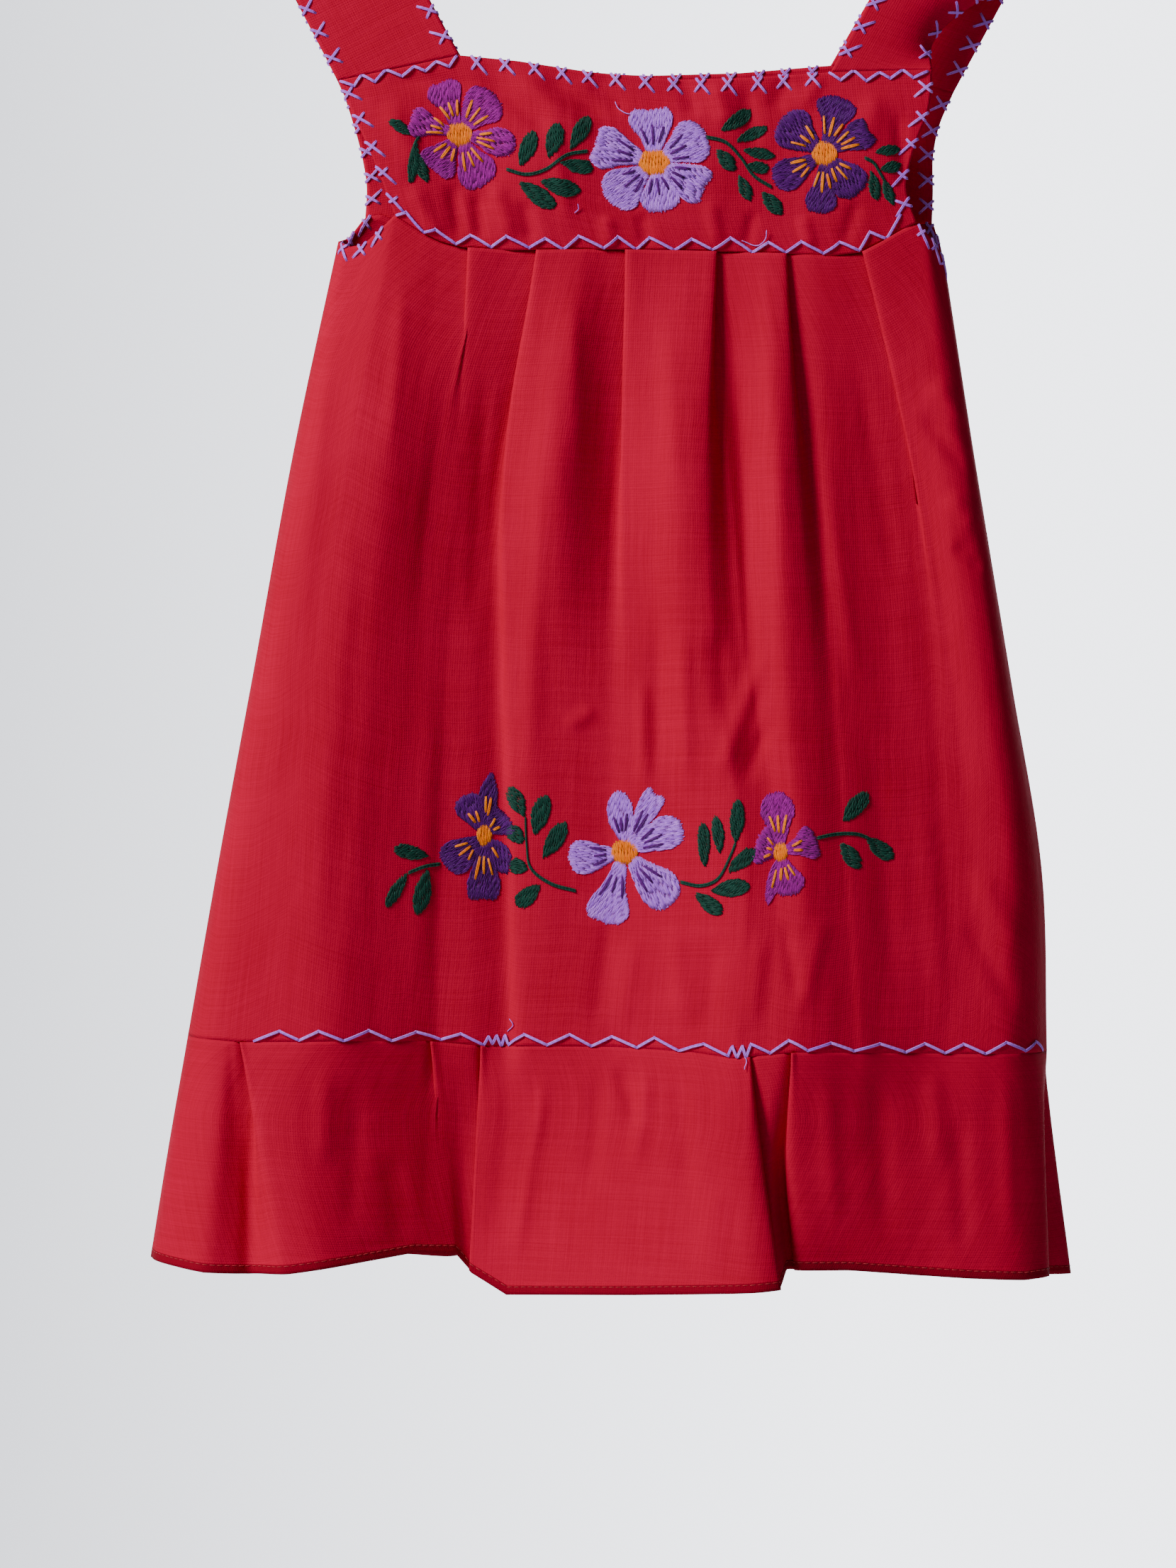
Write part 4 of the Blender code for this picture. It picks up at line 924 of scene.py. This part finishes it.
LOOSE_ENDS = (
    Stem("yoke_front", ((-0.8, 188.2), (-5.0, 189.6), (-9.1, 187.4), (-10.2, 185.0))),
    Stem("yoke_front", ((38.8, 238.7), (44.9, 240.7), (48.0, 238.2), (48.5, 234.7))),
    Stem("yoke_front", ((-26.0, 228.0), (-24.5, 226.5), (-24.8, 224.5))),
    Stem("ruffle_front", ((39.0, 553.5), (41.0, 557.0), (40.0, 560.5))),
    Stem("skirt_front", ((-52.0, 545.5), (-49.5, 543.0), (-50.5, 540.5))),
)
STITCH_PITCH = 0.45
PETAL_STITCH = 6.0
LEAF_STITCH = 4.5
EYE_STITCH = 9.0
DOME = 0.15
THREAD_RADIUS = 0.27
THREAD_END = 0.55
STRAND_RADIUS = 0.33
STRAND_OFFSET = 0.2
STEM_STITCH = 2.5
STEM_STEP = 1.4
STEM_OFFSET = 0.35
STEM_RADIUS = 0.38
LOOSE_RADIUS = 0.2
EYE_LEAN = 98
LEAF_LEAN = 28
THIRDS = (0.0, 0.33, 0.67, 1.0)


def shape_outline(base, tip, width, shape, rng):
    """Closed outline of a petal or leaf from its base to its tip, a little uneven."""
    base, tip = np.array(base, float), np.array(tip, float)
    along = tip - base
    across = np.array([-along[1], along[0]]) / np.linalg.norm(along)
    one_side = SHAPES[shape]
    other_side = [(t, -w) for t, w in reversed(one_side) if w > 0.001 or t < 0.5]
    outline = []
    for t, w in [*one_side, *other_side]:
        half = w * width / 2 * rng.uniform(0.93, 1.07)
        outline.append(base + along * (t + rng.uniform(-0.015, 0.015)) + across * half)
    closed = np.array(outline[-2:] + outline + outline[:2])
    return curve(closed, 5)[10:-10]


def row_crossings(outline, y):
    """Where a closed outline crosses a level line, sorted."""
    xs = []
    for (x1, y1), (x2, y2) in zip(outline, np.roll(outline, -1, axis=0)):
        if (y1 > y) != (y2 > y):
            xs.append(x1 + (y - y1) * (x2 - x1) / (y2 - y1))
    return sorted(xs)


def stitch_row(start, end, length, first, rng):
    """Short stitches end to end along one row, as (start, end) pairs."""
    made = []
    x = start - rng.uniform(0.0, 0.3)
    reach = first
    while x < end - 0.3:
        if end - x < reach * 1.3:
            reach = end - x + rng.uniform(0.0, 0.3)
        made.append((x, x + reach))
        x += reach * 0.94
        reach = length * rng.uniform(0.85, 1.15)
    return made


def fill_with_stitches(threads, panel, outline, direction, length, rng):
    """Rows of short stitches along a direction (degrees), inside an outline, padded to a low dome."""
    turn = math.radians(direction)
    along = np.array([math.cos(turn), -math.sin(turn)])
    across = np.array([math.sin(turn), math.cos(turn)])
    local = np.column_stack([outline @ along, outline @ across])
    rows = np.arange(local[:, 1].min() + STITCH_PITCH / 2, local[:, 1].max(), STITCH_PITCH)
    for number, y in enumerate(rows):
        crossings = row_crossings(local, y)
        for start, end in zip(crossings[::2], crossings[1::2]):
            first = length * (0.45 + 0.55 * ((number * 0.37) % 1.0))
            start, end = start - rng.uniform(-0.25, 0.45), end + rng.uniform(-0.35, 0.5)
            for x1, x2 in stitch_row(start, end, length, first, rng):
                middle = min(max(((x1 + x2) / 2 - start) / (end - start), 0.0), 1.0)
                dome = DOME * math.sqrt(math.sin(math.pi * middle))
                places = [
                    along * (x1 + (x2 - x1) * share) + across * (y + rng.uniform(-0.06, 0.06))
                    for share in THIRDS
                ]
                lifts = (0.05 + dome, 0.2 + dome, 0.2 + dome, 0.05 + dome)
                lay_thread(threads, panel, places, lifts, THREAD_RADIUS * rng.uniform(0.9, 1.15), 4)


def streak(threads, panel, start, end, rng):
    """Two strands side by side, laid over the petal from its inner part outwards."""
    way = end - start
    across = np.array([-way[1], way[0]]) / np.linalg.norm(way)
    for offset in (-STRAND_OFFSET, STRAND_OFFSET):
        bend = rng.uniform(-0.15, 0.15)
        places = [
            start + way * share + across * (offset + bend * math.sin(math.pi * share))
            for share in (0.0, 0.3, 0.7, 1.0)
        ]
        lay_thread(threads, panel, places, (0.4, 0.65, 0.65, 0.4), STRAND_RADIUS)


def embroider_flower(flower, panels, threads, rng):
    panel = panels[flower.panel]
    centre = np.array([flower.x, flower.y])
    for petal in flower.petals:
        turn = math.radians(petal.angle)
        way = np.array([math.cos(turn), -math.sin(turn)])
        across = np.array([-way[1], way[0]])
        start = 0.75 * math.hypot(flower.eye[0] * way[0], flower.eye[1] * way[1])
        outline = shape_outline(
            centre + way * start, centre + way * petal.reach, petal.width, petal.shape, rng
        )
        stitches_run = petal.angle + flower.slant
        fill_with_stitches(threads[flower.colour], panel, outline, stitches_run, PETAL_STITCH, rng)
        for k in range(petal.streaks):
            spread = (k - (petal.streaks - 1) / 2) * petal.width * 0.2
            near = petal.reach * rng.uniform(0.3, 0.36)
            far = petal.reach * rng.uniform(0.56, 0.68)
            inner = centre + way * near + across * spread * 0.6
            outer = centre + way * far + across * spread * 1.3
            streak(threads[flower.streak], panel, inner, outer, rng)
    angles = np.linspace(0, 2 * math.pi, 24, endpoint=False)
    eye = centre + np.column_stack([np.cos(angles), np.sin(angles)]) * flower.eye
    fill_with_stitches(threads["orange"], panel, eye, EYE_LEAN, EYE_STITCH, rng)


def embroider_leaf(leaf, panels, threads, rng):
    outline = shape_outline((leaf.x1, leaf.y1), (leaf.x2, leaf.y2), leaf.width, "leaf", rng)
    lean = math.degrees(math.atan2(leaf.y1 - leaf.y2, leaf.x2 - leaf.x1))
    fill_with_stitches(
        threads["green"], panels[leaf.panel], outline, lean + LEAF_LEAN, LEAF_STITCH, rng
    )


def embroider_stem(stem, panels, threads):
    """Overlapping slanted stitches along a route, two strands each."""
    route = curve(stem.route, 12)
    steps = np.linalg.norm(np.diff(route, axis=0), axis=1)
    lengths = np.concatenate([[0.0], np.cumsum(steps)])
    for s in np.arange(0.0, lengths[-1], STEM_STEP):
        ends = np.linspace(s, min(s + STEM_STITCH, lengths[-1]), 4)
        for offset in (-STEM_OFFSET, STEM_OFFSET):
            places = np.column_stack([np.interp(ends, lengths, route[:, i]) for i in (0, 1)])
            places[:, 1] += offset
            lifts = (0.1, 0.35, 0.35, 0.1)
            lay_thread(threads["green"], panels[stem.panel], places, lifts, STEM_RADIUS, 4)


def lay_loose_end(loose, panels, threads):
    """A fine thread end that curls up off the cloth."""
    route = curve(loose.route, 6)
    lifts = 0.3 + 0.9 * np.linspace(0, 1, len(route)) ** 2
    lay_thread(threads["lilac"], panels[loose.panel], route, lifts, LOOSE_RADIUS)


# Stitches along edges and seams

X_PITCH = 10.8
ARMHOLE_PITCH = 8.0
STRAND_SPREAD = 0.75
FOOT_SINK = 0.35
HEM_STITCH = 2.1
HEM_STITCH_PITCH = 2.9
HEM_STITCH_RADIUS = 0.14
HEM_STITCH_INSET = 3.0
Zigzag = namedtuple("Zigzag", "pitch near far")
YOKE_ZIGZAG = Zigzag(14.1, 0.2, 5.0)
STRAP_ZIGZAG = Zigzag(9.5, 0.3, 3.6)
RUFFLE_ZIGZAG = Zigzag(17.4, 0.3, 4.2)
FASTENING_STEP = 1.7
FASTENED_FRONT = ((-60.0, -52.0), (33.5, 40.0))
FASTENED_BACK = ((20.0, 26.0),)


class Edge:
    """One edge of a panel, with points at any distance along it and in from it."""

    def __init__(self, panel, name):
        turned = {
            "top": lambda a: a.transpose(1, 0, 2),
            "bottom": lambda a: a[::-1].transpose(1, 0, 2),
            "left": lambda a: a,
            "right": lambda a: a[:, ::-1],
        }[name]
        self.points = turned(panel.grid * TO_METRES)[:, :40]
        self.normals = turned(panel.normals)[:, :40]
        steps = np.linalg.norm(np.diff(self.points[:, 0], axis=0), axis=1)
        self.along = np.concatenate([[0.0], np.cumsum(steps)]) / MM
        inward = np.cumsum(np.linalg.norm(np.diff(self.points, axis=1), axis=2), axis=1)
        self.inward = np.concatenate([np.zeros((len(self.points), 1)), inward], axis=1) / MM
        self.length = self.along[-1]

    def span(self, start, end):
        """Both ends of a stretch along the edge: an end of 0 or less counts from the far end."""
        return start, self.length + end if end <= 0 else end

    def at(self, s, d):
        """Point on the middle surface s along and d in from the edge, and the panel's normal."""
        k = min(max(np.searchsorted(self.along, s) - 1, 0), len(self.along) - 2)
        share = (s - self.along[k]) / max(self.along[k + 1] - self.along[k], 1e-6)
        found = []
        for row in (k, k + 1):
            found.append([
                np.array([np.interp(d, self.inward[row], values[row][:, i]) for i in range(3)])
                for values in (self.points, self.normals)
            ])
        point = found[0][0] * (1 - share) + found[1][0] * share
        normal = found[0][1] * (1 - share) + found[1][1] * share
        return point, normal / np.linalg.norm(normal)

    def x_at(self, s):
        return self.at(s, 0.0)[0][0] / MM


def strands(threads, path, normals):
    """A thread of two strands side by side."""
    path, normals = np.asarray(path), np.asarray(normals)
    side = across_cloth(path, normals)[1]
    for offset in (-STRAND_SPREAD, STRAND_SPREAD):
        threads.add(path + side * offset * STRAND_RADIUS * MM, normals, STRAND_RADIUS, 5, 0.9)


def over_edge_stitch(threads, edge, s_edge, s_foot, depth_out, depth_in):
    """A stitch from a foot on the outer face, over the edge, to a foot on the inner face."""
    path, normals = [], []

    def lay(share, s, depth, face):
        point, normal = edge.at(s, depth)
        rise = (SHELL / 2 + 0.3) * (FOOT_SINK if share == 1.0 else 1.0)
        path.append(point + face * normal * rise * MM)
        normals.append(face * normal)

    for share in (1.0, 0.75, 0.5, 0.25, 0.05):
        lay(share, s_edge + (s_foot - s_edge) * share, depth_out * share, 1.0)
    point, inner = edge.at(s_edge, 0.0)[0], edge.at(s_edge, 1.0)[0]
    outward = (point - inner) / np.linalg.norm(point - inner)
    path.append(point + outward * 0.4 * MM)
    normals.append(outward)
    for share in (0.05, 0.3, 0.65, 1.0):
        lay(share, s_edge + (s_foot - s_edge) * share, depth_in * share, -1.0)
    strands(threads, path, normals)


def edge_stitches(threads, panel, name, start, end, rng, pitch=X_PITCH):
    """X stitches over an edge, between two distances along it."""
    edge = Edge(panel, name)
    start, end = edge.span(start, end)
    count = max(1, round((end - start) / pitch))
    step = (end - start) / count
    for k in range(count):
        s = start + (k + 0.5) * step + rng.uniform(-0.5, 0.5)
        deep = rng.uniform(5.9, 6.9)
        over_edge_stitch(threads, edge, s - 1.6, s + 3.1, deep, deep * 0.9)
        over_edge_stitch(threads, edge, s + 1.7, s - 2.9, deep * 0.8, deep * 0.9)


def zigzag(threads, panel, name, start, end, rng, form=YOKE_ZIGZAG, fastened=()):
    """A zigzag thread on a panel along an edge, between two distances along it. Between the x
    values in fastened the sewer made the thread fast with short stitches."""
    edge = Edge(panel, name)
    s, end = edge.span(start, end)
    corners = []
    high = False
    while s < end:
        corners.append((s, (form.far if high else form.near) + rng.uniform(-0.7, 0.7)))
        near_x = edge.x_at(s), edge.x_at(s + form.pitch / 4)
        fastening = any(low < x < top for x in near_x for low, top in fastened)
        s += (FASTENING_STEP if fastening else form.pitch / 2) * rng.uniform(0.78, 1.22)
        high = not high
    for (s1, d1), (s2, d2) in zip(corners, corners[1:]):
        path, normals = [], []
        for share in np.linspace(-0.06, 1.06, 7):
            point, normal = edge.at(s1 + (s2 - s1) * share, max(d1 + (d2 - d1) * share, 0.05))
            rise = 0.25 + 0.45 * math.sin(math.pi * min(max(share, 0.0), 1.0)) ** 0.5
            path.append(point + normal * (SHELL / 2 + rise) * MM)
            normals.append(normal)
        strands(threads, path, normals)


def running_stitch(threads, panel, rng):
    """Machine stitches in red thread along the turned hem, on both faces."""
    edge = Edge(panel, "bottom")
    for s in np.arange(1.0, edge.length - 3.0, HEM_STITCH_PITCH):
        for face in (1.0, -1.0):
            path, normals = [], []
            for share, rise in ((0.0, 0.02), (0.3, 0.12), (0.7, 0.12), (1.0, 0.02)):
                inset = HEM_STITCH_INSET + rng.uniform(-0.05, 0.05)
                point, normal = edge.at(s + HEM_STITCH * share, inset)
                path.append(point + face * normal * (SHELL / 2 + rise) * MM)
                normals.append(face * normal)
            threads.add(path, normals, HEM_STITCH_RADIUS, 4)


# The pieces

Detail = namedtuple("Detail", "skirt skirt_spacing ruffle ruffle_spacing yoke yoke_columns")
Half = namedtuple("Half", "skirt flatter skirt_top ruffle hem yoke waves creases detail")
STRAP_ROWS, STRAP_COLUMNS = 40, 36


def halves():
    """What the front and the back are made from. The back's creases mirror the front's about
    half of each number given to mirrored."""
    return {
        "front": Half(
            FRONT_SKIRT, 1.0, SKIRT_TOP, FRONT_RUFFLE, FRONT_HEM,
            (FRONT_YOKE_LEFT, FRONT_YOKE_RIGHT, FRONT_YOKE_TOP), Waves(1.6, 3.5, 0.6, 0.6, 1.8),
            (YOKE_CREASES, SKIRT_CREASES, RUFFLE_CREASES), Detail(190, 1.9, 70, 1.7, 70, 200),
        ),
        "back": Half(
            back_skirt_rows(), BACK_FLATTER, BACK_SKIRT_TOP, BACK_RUFFLE, BACK_HEM,
            (BACK_YOKE_LEFT, BACK_YOKE_RIGHT, BACK_YOKE_TOP), Waves(1.0, 2.5, 0.0, 0.0, 1.2),
            (mirrored(YOKE_CREASES, 6.0), mirrored(SKIRT_CREASES, -8.0), mirrored(RUFFLE_CREASES, -18.0)),
            Detail(120, 2.6, 50, 2.2, 50, 150),
        ),
    }


def half_surfaces(half, coarser):
    """The yoke, skirt and ruffle of one half, as surfaces that face the front."""
    detail = half.detail
    skirt = hung_surface(
        skirt_lines(half.skirt, half.flatter), SKIRT_STATIONS, half.skirt_top, RUFFLE_SEAM,
        int(detail.skirt / coarser), detail.skirt_spacing * coarser,
    )
    ruffle = hung_surface(
        ruffle_lines(half.ruffle, skirt[-1]), RUFFLE_STATIONS, RUFFLE_SEAM, half.hem,
        int(detail.ruffle / coarser), detail.ruffle_spacing * coarser,
    )
    rows, columns = int(detail.yoke / coarser), int(detail.yoke_columns / coarser)
    yoke = yoke_surface(*half.yoke, half.skirt_top, rows, columns, half.waves)
    yoke_creases, skirt_creases, ruffle_creases = half.creases
    skirt = creased(skirt, skirt_creases)
    ruffle = with_hem(creased(sewn_to(ruffle, skirt[-1]), ruffle_creases))
    return {"yoke": creased(yoke, yoke_creases), "skirt": skirt, "ruffle": ruffle}


def cloth_panels():
    coarser = 1.0
    surfaces = {side: half_surfaces(half, coarser) for side, half in halves().items()}
    panels = {}
    for piece in ("yoke", "skirt", "ruffle"):
        for side, turn in (("front", 1.0), ("back", TO_BACK)):
            surfaces[side][piece] = surfaces[side][piece] * turn
            node = f"{piece}_{side}"
            panels[node] = Panel(f"cloth_{node}", surfaces[side][piece], side == "back", piece == "ruffle")
    for number, (side, outer) in enumerate((("left", 0.0), ("right", 1.0))):
        seams = [
            strap_seam(surfaces[half]["yoke"][0], outer, STRAP_SHARE[half][number])
            for half in ("front", "back")
        ]
        surface = strap_surface(side, *seams, STRAP_ROWS, STRAP_COLUMNS)
        panels[f"strap_{side}"] = Panel(f"cloth_strap_{side}", surface, side == "left")
    return panels


def dress_node(piece, node):
    """The piece takes the place of a plain solid."""
    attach(piece, "root")
    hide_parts(node)
    return piece


def tube(name, line, radii, sides, finish):
    """A round rod swept along a line in the plane of the garment, with closed ends."""
    line = np.asarray(line, float)
    depth_axis = np.array([0.0, 1.0, 0.0])
    level = np.cross(unit(np.gradient(line, axis=0)), depth_axis)
    angle = 2 * math.pi * np.arange(sides) / sides
    ring = np.cos(angle)[None, :, None] * depth_axis + np.sin(angle)[None, :, None] * level[:, None]
    points = (line[:, None] + np.asarray(radii)[:, None, None] * ring).reshape(-1, 3) * TO_METRES
    return new_mesh(name, points, tube_faces(len(line), sides), finish)


def build_hanger():
    xs = np.linspace(-HANGER_HALF_WIDTH, HANGER_HALF_WIDTH, 121)
    line = [np.array([x, 0.0, bar_drop(x)]) for x in xs]
    radii = [BAR_RADIUS] * len(line)
    left_end, right_end = line[0], line[-1]
    outward = np.array([math.cos(ARM_SLOPE), 0.0, math.sin(ARM_SLOPE)])
    for angle in np.linspace(0.15, math.pi / 2 - 0.1, 7):
        reach = BAR_RADIUS * math.sin(angle)
        line = [left_end + reach * outward * (-1, 1, 1), *line, right_end + reach * outward]
        radii = [BAR_RADIUS * math.cos(angle), *radii, BAR_RADIUS * math.cos(angle)]
    bar = tube("hanger_bar_wood", line, radii, 32, wood_material())
    dress_node(bar, "hanger_bar")
    bar_top = bar_drop(0.0) - BAR_RADIUS
    ring = HOOK_INNER_RADIUS + WIRE_RADIUS
    route = [(0.0, 0.0, bar_top - 0.1), (0.0, 0.0, bar_top - 14.0), (1.0, 0.0, bar_top - 24.0)]
    for angle in np.linspace(math.radians(-50), HOOK_END_ANGLE, 14):
        route.append((ring * math.cos(angle), 0.0, HOOK_INNER_RADIUS - ring * math.sin(angle)))
    wire = curve(route, 6)
    hook = tube("hanger_hook_wire", wire, [WIRE_RADIUS] * len(wire), 20, wire_material())
    dress_node(hook, "hanger_hook")


def sew(panels, threads, rng):
    lilac = threads["lilac"]
    necks = {}
    for side, clear in (("front", 1.0), ("back", 2.0)):
        yoke = panels[f"yoke_{side}"]
        necks[side] = [share * Edge(yoke, "top").length for share in STRAP_SHARE[side]]
        edge_stitches(lilac, yoke, "top", necks[side][0] + 2.0, necks[side][1] - clear, rng)
    for node in ("yoke_front", "yoke_back"):
        for name in ("left", "right"):
            edge_stitches(lilac, panels[node], name, 1.0, -2.0, rng)
    for node in ("strap_left", "strap_right"):
        for name in ("top", "bottom"):
            edge_stitches(lilac, panels[node], name, 4.0, -4.0, rng)
    for node, left_end in (("skirt_front", 26.0), ("skirt_back", 22.0)):
        skirt = panels[node]
        right_start = Edge(skirt, "top").length - 24.0
        edge_stitches(lilac, skirt, "top", 2.0, left_end, rng, ARMHOLE_PITCH)
        edge_stitches(lilac, skirt, "top", right_start, -2.0, rng, ARMHOLE_PITCH)
    for node in ("yoke_front", "yoke_back"):
        zigzag(lilac, panels[node], "bottom", 1.0, -1.0, rng)
    for side, (left_inner, right_inner) in necks.items():
        zigzag(lilac, panels[f"yoke_{side}"], "top", 1.0, left_inner, rng, STRAP_ZIGZAG)
        zigzag(lilac, panels[f"yoke_{side}"], "top", right_inner, -1.0, rng, STRAP_ZIGZAG)
    zigzag(lilac, panels["skirt_front"], "bottom", 38.5, -1.0, rng, RUFFLE_ZIGZAG, FASTENED_FRONT)
    zigzag(lilac, panels["skirt_back"], "bottom", 4.0, -4.0, rng, RUFFLE_ZIGZAG, FASTENED_BACK)
    for node in ("ruffle_front", "ruffle_back"):
        running_stitch(threads["red"], panels[node], rng)


def embroider(panels, threads, rng):
    for flower in FLOWERS:
        embroider_flower(flower, panels, threads, rng)
    for leaf in LEAVES:
        embroider_leaf(leaf, panels, threads, rng)
    for stem in STEMS:
        embroider_stem(stem, panels, threads)
    for loose in LOOSE_ENDS:
        lay_loose_end(loose, panels, threads)


# The room, in metres

ROOM_BRIGHTNESS = 3.8
ROOM_DARK, ROOM_WALL = (0.013, 0.013, 0.015), (0.94, 0.96, 1.04)
FLOOR_SIZE, FLOOR_HEIGHT = 3.6, -1.15
FLOOR_COLOUR = (0.75, 0.75, 0.76, 1.0)
LIT_POINT = Vector((0.0, 0.0, -0.42))
Light = namedtuple("Light", "name place size power colour")
LIGHTS = (
    Light("window", (-1.63, -1.08, 0.97), 0.6, 77.0, (1.0, 0.99, 0.98)),
    Light("fill", (0.9, -2.2, 0.1), 1.6, 3.0, (1.0, 1.0, 1.0)),
)


def build_stage():
    """A room that is nearly dark but for its pale wall behind the dress, and a pale floor."""
    world = bpy.data.worlds.new("pale_room")
    world.use_nodes = True
    tree = world.node_tree
    direction = add_node(tree, "ShaderNodeTexCoord", {}).outputs["Generated"]
    split = add_node(tree, "ShaderNodeSeparateXYZ", {"Vector": direction})
    behind = map_range(tree, split.outputs["Y"], 0.6, 0.93, 0.0, 1.0)
    sideways = map_range(tree, split.outputs["X"], -0.15, 0.06, 0.4, 1.0)
    shade = colour_ramp(
        tree, maths(tree, "MULTIPLY", behind, sideways), ((0.0, ROOM_DARK), (1.0, ROOM_WALL))
    )
    set_inputs(tree, tree.nodes["Background"], {"Color": shade, "Strength": ROOM_BRIGHTNESS})
    bpy.context.scene.world = world
    bpy.ops.mesh.primitive_plane_add(size=FLOOR_SIZE, location=(0.0, 0.0, FLOOR_HEIGHT))
    floor = bpy.context.object
    floor.name = "floor"
    finish = shader_material("pale_floor", {"Roughness": 0.9, "Base Color": FLOOR_COLOUR})[0]
    floor.data.materials.append(finish)


def add_light(row):
    data = bpy.data.lights.new(row.name, "AREA")
    data.shape = "SQUARE"
    data.size = row.size
    data.energy = row.power
    data.color = row.colour
    light = bpy.data.objects.new(row.name, data)
    light.location = row.place
    light.rotation_euler = (LIT_POINT - Vector(row.place)).to_track_quat("-Z", "Y").to_euler()
    bpy.context.scene.collection.objects.link(light)


def build_camera():
    data = bpy.data.cameras.new("camera")
    data.sensor_fit = "VERTICAL"
    data.sensor_height = 24.0
    data.lens = data.sensor_height * CAMERA_DISTANCE / (PHOTO_BOTTOM - PHOTO_TOP)
    camera = bpy.data.objects.new("camera", data)
    camera.location = EYE
    camera.rotation_euler = (math.radians(90.0), 0.0, 0.0)
    bpy.context.scene.collection.objects.link(camera)
    bpy.context.scene.camera = camera


# Each thread's dark and light shade
THREAD_COLOURS = {
    "lilac": ((0.42, 0.12, 0.80), (0.68, 0.28, 1.0)),
    "dark_purple": ((0.055, 0.0, 0.10), (0.13, 0.001, 0.22)),
    "magenta": ((0.26, 0.002, 0.22), (0.42, 0.006, 0.36)),
    "orange": ((0.90, 0.17, 0.001), (1.0, 0.30, 0.003)),
    "green": ((0.002, 0.035, 0.024), (0.006, 0.075, 0.050)),
    "red": ((0.45, 0.02, 0.03), (0.6, 0.05, 0.07)),
}


def main():
    rng = random.Random(7)
    cotton = cloth_material()
    threads = {colour: Threads() for colour in THREAD_COLOURS}
    panels = cloth_panels()
    built = {
        node: dress_node(panel.build(cotton), node) for node, panel in panels.items()
    }
    embroider(panels, threads, rng)
    sew(panels, threads, rng)
    for colour, (dark, light) in THREAD_COLOURS.items():
        threads[colour].build(colour, thread_material(f"thread_{colour}", dark, light))
    build_hanger()
    build_camera()
    build_stage()
    for row in LIGHTS:
        add_light(row)


main()
